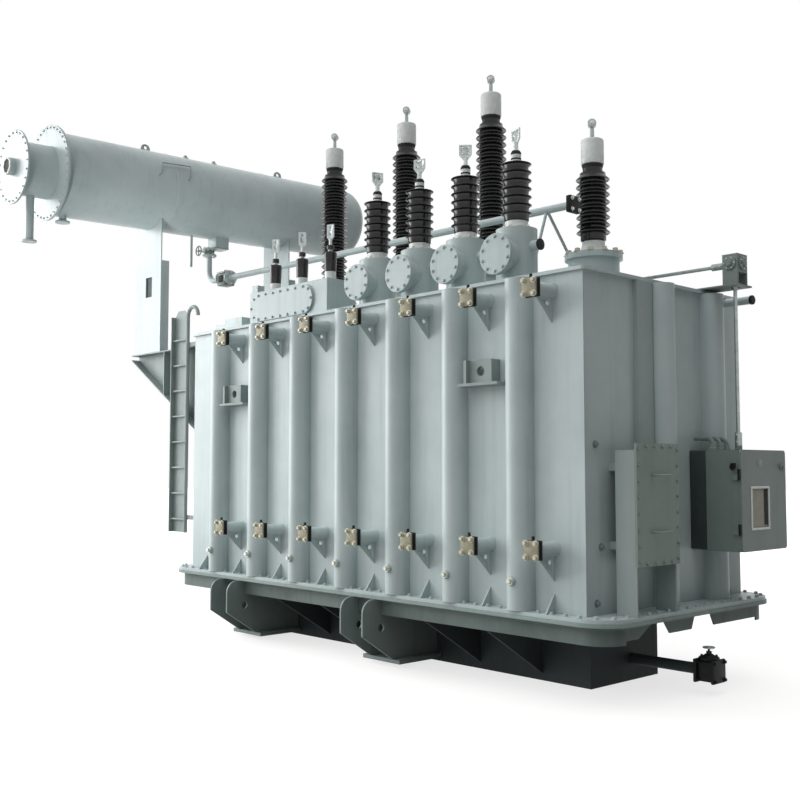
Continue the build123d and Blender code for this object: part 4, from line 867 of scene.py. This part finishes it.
def oil_gauge():
    """A dial gauge: a pale bezel with its bolts round a dark dial."""
    bezel = turned(cast_aluminium, [
        (0.078, 0), (0.104, 0), (0.104, 0.014), (0.1, 0.018), (0.084, 0.018), (0.078, 0.012),
    ])
    dial = turned(rubber, [(0, 0.002), (0.08, 0.002), (0.08, 0.009), (0, 0.009)])
    pins = [moved(hex_bolt(zinc_plate, 0.012), spot) for spot in raised(ring_of(8, 0.092), 0.018)]
    return joined([bezel, dial] + pins)


main_ring = raised(ring_of(36, MAIN_BOLT_CIRCLE))
chamber_ring = raised(ring_of(24, CHAMBER_BOLT_CIRCLE))
oil_flange_faces = [
    (OIL_FRONT, -1, main_ring), (OIL_FRONT + MAIN_FLANGE_THICK, 1, main_ring),
    (CHAMBER_FACE, -1, chamber_ring), (CHAMBER_FACE + CHAMBER_FLANGE_THICK, 1, chamber_ring),
]
oil_bolts = [on_oil_axis(y, direction) @ spot for y, direction, ring in oil_flange_faces for spot in ring]
bolts("conservator_bolts", oil_bolts, 0.019, tank_enamel)
fitted(spread(weld_bead(OIL_RADIUS), [on_oil_axis(y, 1) for y in WELD_YS]), "conservator_welds")
fitted(bar(shaded_lug_enamel, [on_shell(*spot) for spot in GRAB_POINTS], 0.009), "conservator_grab_bar")
fitted(spread(filler_plug(), [on_oil_top(y) for y in PLUG_YS]), "conservator_plugs")
fitted(spread(lifting_ear(), [on_oil_top(y) for y in EAR_YS]), "conservator_ears")
# A plate behind each post's slot, near black: painted shade inside the channel
slot_shadow_back = rounded_block(painted_shade_enamel, (oil_x - 0.1, 0.0075, 3.92), (oil_x + 0.1, 0.02, 4.22), 0.002)
fitted(spread(slot_shadow_back, [shift(0, y, 0) for y in POST_YS]), "post_slot_shadow_backs")
fitted(moved(oil_gauge(), on_oil_axis(GAUGE_FACE, -1)), "oil_gauge")


# The oil line under the conservator: sump, shut-off valve, bend and gas relay

LINE_Y = -0.1
LINE_END = 1.86
LINE_END_LEVEL = 4.155
LINE_FALL = 0.016
LINE_RADIUS = 0.036
DROP_X = -4.1
DROP_BEND = 0.15
SUMP_FOOT = 4.695
VALVE_LEVEL = 4.643
VALVE_FLANGES = (4.683, 4.601)
LINE_FLANGE = 0.093
RELAY_X = -3.7
RELAY_FLANGE_REACH = 0.104


def line_level(x):
    return LINE_END_LEVEL + (LINE_END - x) * LINE_FALL


def pipe_flange(radius, thick, count):
    """A round pipe flange with its bolts on both faces, its middle at z = 0."""
    half = thick / 2
    disc = turned(tank_enamel, [
        (0, -half), (radius - 0.003, -half), (radius, -half + 0.003), (radius, half - 0.003),
        (radius - 0.003, half), (0, half),
    ], 32)
    heads = []
    for x, y in ring_of(count, radius * 0.78):
        heads.append(moved(hex_bolt(zinc_plate, 0.02), shift(x, y, half)))
        heads.append(moved(hex_bolt(zinc_plate, 0.02), shift(x, y, -half) @ facing((0, 0, -1))))
    return joined([disc] + heads)


def hand_wheel(material, radius, rim, hub):
    """A cast handwheel: a round rim, a bored hub and four spokes, flat on the XY plane."""
    deselect()
    bpy.ops.mesh.primitive_torus_add(major_radius=radius - rim, minor_radius=rim,
                                     major_segments=36, minor_segments=10)
    wheel = painted(settle(bpy.context.object), material)
    bore = 0.0095
    boss = turned(material, [
        (bore, -hub / 2), (hub * 0.75, -hub / 2), (hub * 0.8, -hub * 0.3), (hub * 0.8, hub * 0.3),
        (hub * 0.75, hub / 2), (bore, hub / 2), (bore, -hub / 2),
    ], 24)
    reach = radius - rim
    spokes = [bar(material, [(0.012 * x, 0.012 * y, 0), (reach * x, reach * y, 0)], rim * 0.8, 8)
              for x, y in ring_of(4, 1.0)]
    return joined([wheel, boss] + spokes)


def oil_line():
    """Everything from the sump under the conservator to the relay's near flange."""
    sump_low = (oil_x - 0.1, -0.07, SUMP_FOOT)
    sump = rounded_block(tank_enamel, sump_low, (oil_x + 0.1, 0.13, 4.9), 0.008)
    sump_lip = rounded_block(tank_enamel, sump_low, (oil_x + 0.1, 0.13, SUMP_FOOT + 0.017), 0.004)
    bend_x = DROP_X + DROP_BEND
    bend_z = line_level(bend_x)
    bend_top = bend_z + DROP_BEND
    relay_side = RELAY_X - 0.115
    drop_points = [(DROP_X, LINE_Y, 4.6)]
    drop_points += arc((bend_x, LINE_Y, bend_top), (DROP_X, LINE_Y, bend_top), (bend_x, LINE_Y, bend_z))
    drop_points += [(relay_side, LINE_Y, line_level(relay_side))]
    drop = bar(tank_enamel, drop_points, LINE_RADIUS)
    rims = spread(pipe_flange(LINE_FLANGE, 0.022, 8), [shift(DROP_X, LINE_Y, z) for z in VALVE_FLANGES])
    body = turned(cabinet_enamel, [
        (0, 0), (0.05, 0), (0.062, 0.016), (0.062, 0.05), (0.05, 0.066), (0, 0.066),
    ], 28)
    moved(body, shift(DROP_X, LINE_Y, VALVE_LEVEL - 0.033))
    stem_ends = [(DROP_X, LINE_Y - reach, VALVE_LEVEL) for reach in (0.05, 0.17)]
    stem = bar(zinc_plate, stem_ends, 0.014)
    wheel = hand_wheel(cabinet_enamel, 0.07, 0.008, 0.02)
    moved(wheel, shift(DROP_X, LINE_Y - 0.165, VALVE_LEVEL) @ AHEAD)
    return joined([sump, sump_lip, drop, rims, body, stem, wheel])


def pipe_blank():
    """The black block that closes the far end of the gas pipe, with four bolts."""
    near, far = 1.856, 1.908
    block = rounded_block(black_iron, (near, LINE_Y - 0.076, 4.078), (far, LINE_Y + 0.076, 4.23), 0.008)
    heads = [moved(hex_bolt(zinc_plate, 0.026), shift(far, LINE_Y + y, 4.154 + z) @ TO_DRIVE_END)
             for y in (-0.05, 0.05) for z in (-0.05, 0.05)]
    return joined([block] + heads)


def gas_relay():
    """A cast housing with a dark sight glass, a lid, a test cap and a pipe flange at each end."""
    centre = Vector((RELAY_X, LINE_Y, line_level(RELAY_X)))
    housing = rounded_block(cabinet_enamel, centre - Vector((0.085, 0.08, 0.1)),
                            centre + Vector((0.085, 0.08, 0.06)), 0.014)
    lid = rounded_block(tank_enamel, centre + Vector((-0.09, -0.085, 0.06)),
                        centre + Vector((0.09, 0.085, 0.082)), 0.006)
    cap = turned(zinc_plate, [
        (0, 0), (0.045, 0), (0.042, 0.024), (0.016, 0.028), (0.014, 0.028), (0, 0.028),
    ], 24)
    moved(cap, shift(centre.x, centre.y, centre.z + 0.082))
    glass = rounded_block(rubber, centre + Vector((-0.05, -0.086, -0.06)),
                          centre + Vector((0.05, -0.078, 0.03)), 0.004)
    flange_xs = (RELAY_X - RELAY_FLANGE_REACH, RELAY_X + RELAY_FLANGE_REACH)
    flange_places = [shift(x, LINE_Y, line_level(x)) @ facing((1, 0, -LINE_FALL)) for x in flange_xs]
    ends = spread(pipe_flange(LINE_FLANGE, 0.02, 6), flange_places)
    return joined([housing, lid, cap, glass, ends])


fitted(oil_line(), "oil_line", stands_for=["conservator_sump"])
fitted(gas_relay(), "gas_relay_set", stands_for=["gas_relay"])
fitted(pipe_blank(), "gas_pipe_blank")


# The drive end's wall: terminal box, stub and earth studs

PANEL_SIDES = (-0.88, -0.362)
PANEL_ENDS = (1.082, 1.962)
HANDLE_Y = -0.6
HANDLE_LEVELS = (1.745, 1.315)
STUB_MOUTH = (3.03, 0.9, 3.265)
EARTH_STUDS = [(-1.0, 1.98), (-1.0, 0.78), (-0.94, 1.2)]


def pull_handle(material, width, reach, radius):
    """A bent round handle on the +X face of a panel, its middle at the origin."""
    half = width / 2
    turn = reach * 0.5
    near = reach - turn
    points = [(-0.004, -half, 0)]
    points += arc((near, -half + turn, 0), (near, -half, 0), (reach, -half + turn, 0), 5)
    points += arc((near, half - turn, 0), (reach, half - turn, 0), (near, half, 0), 5)
    points += [(-0.004, half, 0)]
    return bar(material, points, radius, 10)


def stub_cap():
    return turned(rubber, [
        (0, -0.002), (0.037, -0.002), (0.041, 0.002), (0.041, 0.02), (0.034, 0.026), (0, 0.027),
    ], 28)


panel_face = corners("terminal_box_cover")[1].x
handle_places = [shift(panel_face, HANDLE_Y, z) for z in HANDLE_LEVELS]
fitted(spread(pull_handle(panel_enamel, 0.2, 0.05, 0.009), handle_places), "terminal_box_handles")
panel_edge = [(y, z) for y in PANEL_SIDES for z in even(1.1, 1.94, 8)]
panel_edge += [(y, z) for y in even(-0.78, -0.45, 4) for z in PANEL_ENDS]
panel_bolts = [shift(panel_face, y, z) @ TO_DRIVE_END for y, z in panel_edge]
bolts("terminal_box_bolts", panel_bolts, 0.02, panel_enamel)
fitted(moved(stub_cap(), shift(*STUB_MOUTH) @ TO_DRIVE_END), "wall_stub_cap")
earth_places = [shift(tank_end, y, z) @ TO_DRIVE_END for y, z in EARTH_STUDS]
bolts("earth_studs", earth_places, 0.04, cabinet_enamel)


# Motor drive cabinet: the door's window, plate, lock and hinges, then what sits on the box

DOOR_FACE = 3.2305
WINDOW_FRAME = 0.02
HINGE_AXIS = (3.2175, 0.297)
HINGE_FEET = (1.25528, 1.7004)
KNUCKLE_TALL = 0.0445
KNUCKLE_PITCH = 0.0455
BOX_SIDE = 0.292
GLAND_TOP = 1.948


def window_frame(low, high):
    """Four pale bars round the window, which overlap the door's face."""
    back = DOOR_FACE - 0.004
    front = DOOR_FACE + 0.007
    bars = [
        ((low.y - WINDOW_FRAME, low.z - WINDOW_FRAME), (high.y + WINDOW_FRAME, low.z)),
        ((low.y - WINDOW_FRAME, high.z), (high.y + WINDOW_FRAME, high.z + WINDOW_FRAME)),
        ((low.y - WINDOW_FRAME, low.z), (low.y, high.z)),
        ((high.y, low.z), (high.y + WINDOW_FRAME, high.z)),
    ]
    return joined([rounded_block(cast_aluminium, (back, *start), (front, *end), 0.004)
                   for start, end in bars])


def door_lock():
    lock = turned(cabinet_enamel, [
        (0, 0), (0.03, 0), (0.03, 0.008), (0.02, 0.012), (0.018, 0.03), (0, 0.032),
    ], 20)
    return moved(lock, shift(3.232, 0.975, 1.815) @ TO_DRIVE_END)


def knuckle(foot):
    """A thin sleeve round one of the hinges' CAD knuckles."""
    sleeve = turned(black_iron, [
        (0.0118, 0), (0.0135, 0.001), (0.0135, KNUCKLE_TALL - 0.001), (0.0118, KNUCKLE_TALL),
    ], 20)
    return moved(sleeve, shift(*HINGE_AXIS, foot))


def box_latch():
    """A round latch on the side of the box, with its arm."""
    knob = turned(black_iron, [
        (0, 0), (0.024, 0), (0.024, 0.006), (0.014, 0.01), (0.014, 0.026), (0, 0.028),
    ], 18)
    moved(knob, shift(3.1625, BOX_SIDE, 1.81) @ AHEAD)
    arm = rounded_block(black_iron, (3.155, BOX_SIDE - 0.024, 1.80), (3.205, BOX_SIDE - 0.012, 1.84), 0.004)
    return joined([knob, arm])


def cable_gland():
    """A hexagon gland with a bent conduit that runs back to the wall."""
    body = turned(panel_enamel, [
        (0, 0), (0.034, 0), (0.034, 0.02), (0.027, 0.024), (0.027, 0.05), (0, 0.05),
    ], 6)
    points = [(0, 0, 0.04)] + arc((-0.05, 0, 0.05), (0, 0, 0.05), (-0.05, 0, 0.1), 6) + [(-0.17, 0, 0.1)]
    return joined([body, bar(cabinet_enamel, points, 0.018)])


window_low, window_high = corners("motor_drive_window")
fitted(window_frame(window_low, window_high), "window_frame", "door")
# A dark strip down one side of the window: painted shade on the recess's side wall
jamb_shadow = rounded_block(rubber, (DOOR_FACE - 0.009, window_high.y - 0.052, window_low.z + 0.02),
                     (DOOR_FACE - 0.004, window_high.y, window_high.z), 0.002)
fitted(jamb_shadow, "window_jamb_shadow", "door")
label = rounded_block(panel_enamel, (DOOR_FACE - 0.002, 0.57, 1.81), (DOOR_FACE + 0.004, 0.65, 1.87), 0.003)
fitted(label, "door_plate", "door")
fitted(door_lock(), "door_lock", "door")
lower_knuckles = [knuckle(z) for z in HINGE_FEET]
fitted(joined(lower_knuckles), "hinge_lower_knuckles")
upper_knuckles = [knuckle(z + KNUCKLE_PITCH) for z in HINGE_FEET]
fitted(joined(upper_knuckles), "hinge_upper_knuckles", "door")
fitted(box_latch(), "cabinet_latch")
# A near-black block behind the cabinet: painted shade for the deep shadow between the cabinet and the wall
rear_shadow_block = rounded_block(painted_shade_enamel, (tank_end + 0.002, 0.318, 1.126), (2.909, 1.047, 1.946), 0.006)
fitted(rear_shadow_block, "cabinet_rear_shadow_block")
gland_places = [shift(2.95, y, GLAND_TOP) for y in even(0.36, 0.58, 3)]
fitted(spread(cable_gland(), gland_places), "cable_glands")


# Gear box lids, and the clamp bolts on the couplings of both shafts

GEAR_SIDE = 0.0825
GEAR_FRONT = 0.07
LID_BOLT_CIRCLE = 0.046
COUPLING_RADIUS = 0.03
COUPLING_BOLT_PITCH = 0.06
STANDING_COUPLINGS = (2.02, 3.345)
LEVEL_COUPLINGS = (1.27, 2.855)


def gear_lid():
    return turned(cabinet_enamel, [
        (0, 0), (0.058, 0), (0.058, 0.01), (0.052, 0.014), (0.03, 0.014), (0.027, 0.03), (0, 0.03),
    ], 32)


shaft = middle("vertical_drive_shaft")
level_shaft = middle("horizontal_drive_shaft")
gear_faces = [
    shift(shaft.x, level_shaft.y - GEAR_SIDE, level_shaft.z) @ AHEAD,
    shift(shaft.x + GEAR_FRONT, level_shaft.y, level_shaft.z) @ TO_DRIVE_END,
]
fitted(spread(gear_lid(), gear_faces), "gear_box_lids")
lid_ring = raised(ring_of(6, LID_BOLT_CIRCLE), 0.012)
bolts("gear_box_bolts", each(gear_faces, lid_ring), 0.012, zinc_plate)
along_x = Matrix.Rotation(QUARTER_TURN, 4, "Y")
standing_starts = [shift(shaft.x, shaft.y, z) for z in STANDING_COUPLINGS]
level_starts = [shift(x, level_shaft.y, level_shaft.z) @ along_x for x in LEVEL_COUPLINGS]
coupling_sides = [shift(0, side * COUPLING_RADIUS, along) @ facing((0, side, 0))
                  for along in (0, COUPLING_BOLT_PITCH) for side in (-1, 1)]
bolts("standing_shaft_bolts", each(standing_starts, coupling_sides), 0.014, zinc_plate, "vertical_shaft")
bolts("level_shaft_bolts", each(level_starts, coupling_sides), 0.014, zinc_plate, "horizontal_shaft")


# Drain valve

DRAIN_FLANGE_THICK = 0.028
DRAIN_FLANGE_TALL = 0.185
DRAIN_BOLT_Y = 0.073
DRAIN_BOLT_Z = 0.07
BONNET_LEVEL = 0.083
BONNET_BOLT_CIRCLE = 0.066
drain_low, drain_high = corners("drain_valve")
drain_wheel = middle("drain_valve_handwheel")
drain_level = drain_low.z + DRAIN_FLANGE_TALL / 2
near_face = 2 * drain_wheel.x - drain_high.x + DRAIN_FLANGE_THICK


def drain_flange(face):
    """A square flange with four bolts, its outer face towards the drive end."""
    block = rounded_block(black_iron, (face - DRAIN_FLANGE_THICK, drain_low.y, drain_low.z),
                          (face, drain_high.y, drain_low.z + DRAIN_FLANGE_TALL), 0.008)
    places = [shift(face, drain_wheel.y + y, drain_level + z) @ TO_DRIVE_END
              for y in (-DRAIN_BOLT_Y, DRAIN_BOLT_Y) for z in (-DRAIN_BOLT_Z, DRAIN_BOLT_Z)]
    return [block] + [moved(hex_bolt(black_iron, 0.026), place) for place in places]


def drain_valve():
    """A gate valve on its pipe: two square flanges, a body and a bolted bonnet with a stem."""
    pipe_ends = [(x, drain_wheel.y, drain_level) for x in (drain_low.x, 2.955)]
    pipe = bar(painted_shade_enamel, pipe_ends, 0.045, 20)
    centre = Vector((drain_wheel.x, drain_wheel.y, drain_level))
    half = Vector((0.07, 0.073, 0.085))
    body = rounded_block(black_iron, centre - half, centre + half, 0.02, 3)
    bonnet = turned(black_iron, [
        (0, 0), (0.072, 0), (0.082, 0.008), (0.082, 0.02), (0.074, 0.026), (0.05, 0.034), (0.03, 0.046),
        (0.022, 0.05), (0.022, 0.068), (0.009, 0.069), (0.009, 0.098), (0, 0.098),
    ], 32)
    seat = shift(centre.x, centre.y, centre.z + BONNET_LEVEL)
    heads = [moved(hex_bolt(black_iron, 0.018), seat @ spot)
             for spot in raised(ring_of(6, BONNET_BOLT_CIRCLE), 0.026)]
    flanges = drain_flange(near_face) + drain_flange(drain_high.x)
    return joined([pipe] + flanges + [body, moved(bonnet, seat)] + heads)


fitted(drain_valve(), "drain_valve_set", stands_for=["drain_valve"])
drain_hand_wheel = moved(hand_wheel(galvanised, 0.05, 0.006, 0.02), shift(*drain_wheel))
fitted(drain_hand_wheel, "drain_wheel_set", "drain_wheel",
       stands_for=["drain_valve_handwheel"])


# Floor, light and camera

def backdrop_rays(tree):
    """1 for rays that see the backdrop, also in a reflection or through glass, and 0 for its light."""
    rays = add(tree, "LightPath").outputs
    mirrored = add(tree, "Math", links={0: rays["Is Camera Ray"], 1: rays["Is Glossy Ray"]},
                   operation="MAXIMUM")
    seen = add(tree, "Math", links={0: mirrored.outputs["Value"], 1: rays["Is Transmission Ray"]},
               operation="MAXIMUM")
    return seen.outputs["Value"]


def soft_lamp(name, place, aim, size, beam, energy):
    """A round soft box with a grid, which narrows its beam."""
    lamp = bpy.data.lights.new(name, "AREA")
    lamp.shape = "DISK"
    lamp.size = size
    lamp.spread = math.radians(beam)
    lamp.energy = energy
    holder = stood(name, lamp)
    holder.location = place
    holder.rotation_euler = (Vector(aim) - Vector(place)).to_track_quat("-Z", "Y").to_euler()


deselect()
bpy.ops.mesh.primitive_plane_add(size=160, location=(0, 0, -0.001))
floor = bpy.context.object
floor.name = "studio_floor"

# A pale paper sweep: matt grey, which the eye sees run out to white
paper, tree, shader, place = blank("studio_floor")
shader.inputs["Base Color"].default_value = linear("#949492")
shader.inputs["Roughness"].default_value = 0.9
shader.inputs["Emission Color"].default_value = linear("#FFFFFF")
away = add(tree, "VectorMath", links={0: place}, operation="LENGTH")
paler = add(tree, "MapRange", {"From Min": 6.0, "From Max": 20.0, "To Min": 0.72, "To Max": 1.0},
            {"Value": away.outputs["Value"]})
lift = add(tree, "Math", links={0: backdrop_rays(tree), 1: paler.outputs["Result"]},
           operation="MULTIPLY")
tree.links.new(lift.outputs["Value"], shader.inputs["Emission Strength"])
painted(floor, paper)

# A white backdrop whose light comes from high on the conservator's side
world = bpy.data.worlds.new("studio")
bpy.context.scene.world = world
world.use_nodes = True
sky = world.node_tree
backdrop = sky.nodes["Background"].inputs
toward = add(sky, "TexCoord").outputs["Generated"]
side = add(sky, "VectorMath", {1: (-0.53, -0.15, 0.835)}, {0: toward}, operation="DOT_PRODUCT")
dome = add(sky, "MapRange", {"From Min": 0.0, "From Max": 0.72, "To Min": 0.0, "To Max": 1.75},
           {"Value": side.outputs["Value"]})
level = add(sky, "Mix", {"B": 1.0}, {"Factor": backdrop_rays(sky), "A": dome.outputs["Result"]})
backdrop["Color"].default_value = linear("#FFFFFF")
sky.links.new(level.outputs["Result"], backdrop["Strength"])

soft_lamp("key", (-8.4, -4.6, 3.8), (-1.8, -1.1, 1.6), 7.0, 80, 178)
soft_lamp("fill", (0, -7.0, 0.3), (-4.0, -0.5, 5.2), 2.0, 25, 11)

EYE = (7.53, -7.456, 1.79)
LOOK_UP = 3.82
LOOK_LEFT = 47.15
lens = bpy.data.cameras.new("view")
lens.sensor_fit = "HORIZONTAL"
lens.sensor_width = 36
lens.lens = 46.65
lens.clip_end = 300
camera = stood("view", lens)
camera.location = EYE
camera.rotation_euler = (math.radians(90 + LOOK_UP), 0, math.radians(LOOK_LEFT))
bpy.context.scene.camera = camera
bpy.context.scene.view_settings.view_transform = "Standard"

bpy.context.view_layer.update()
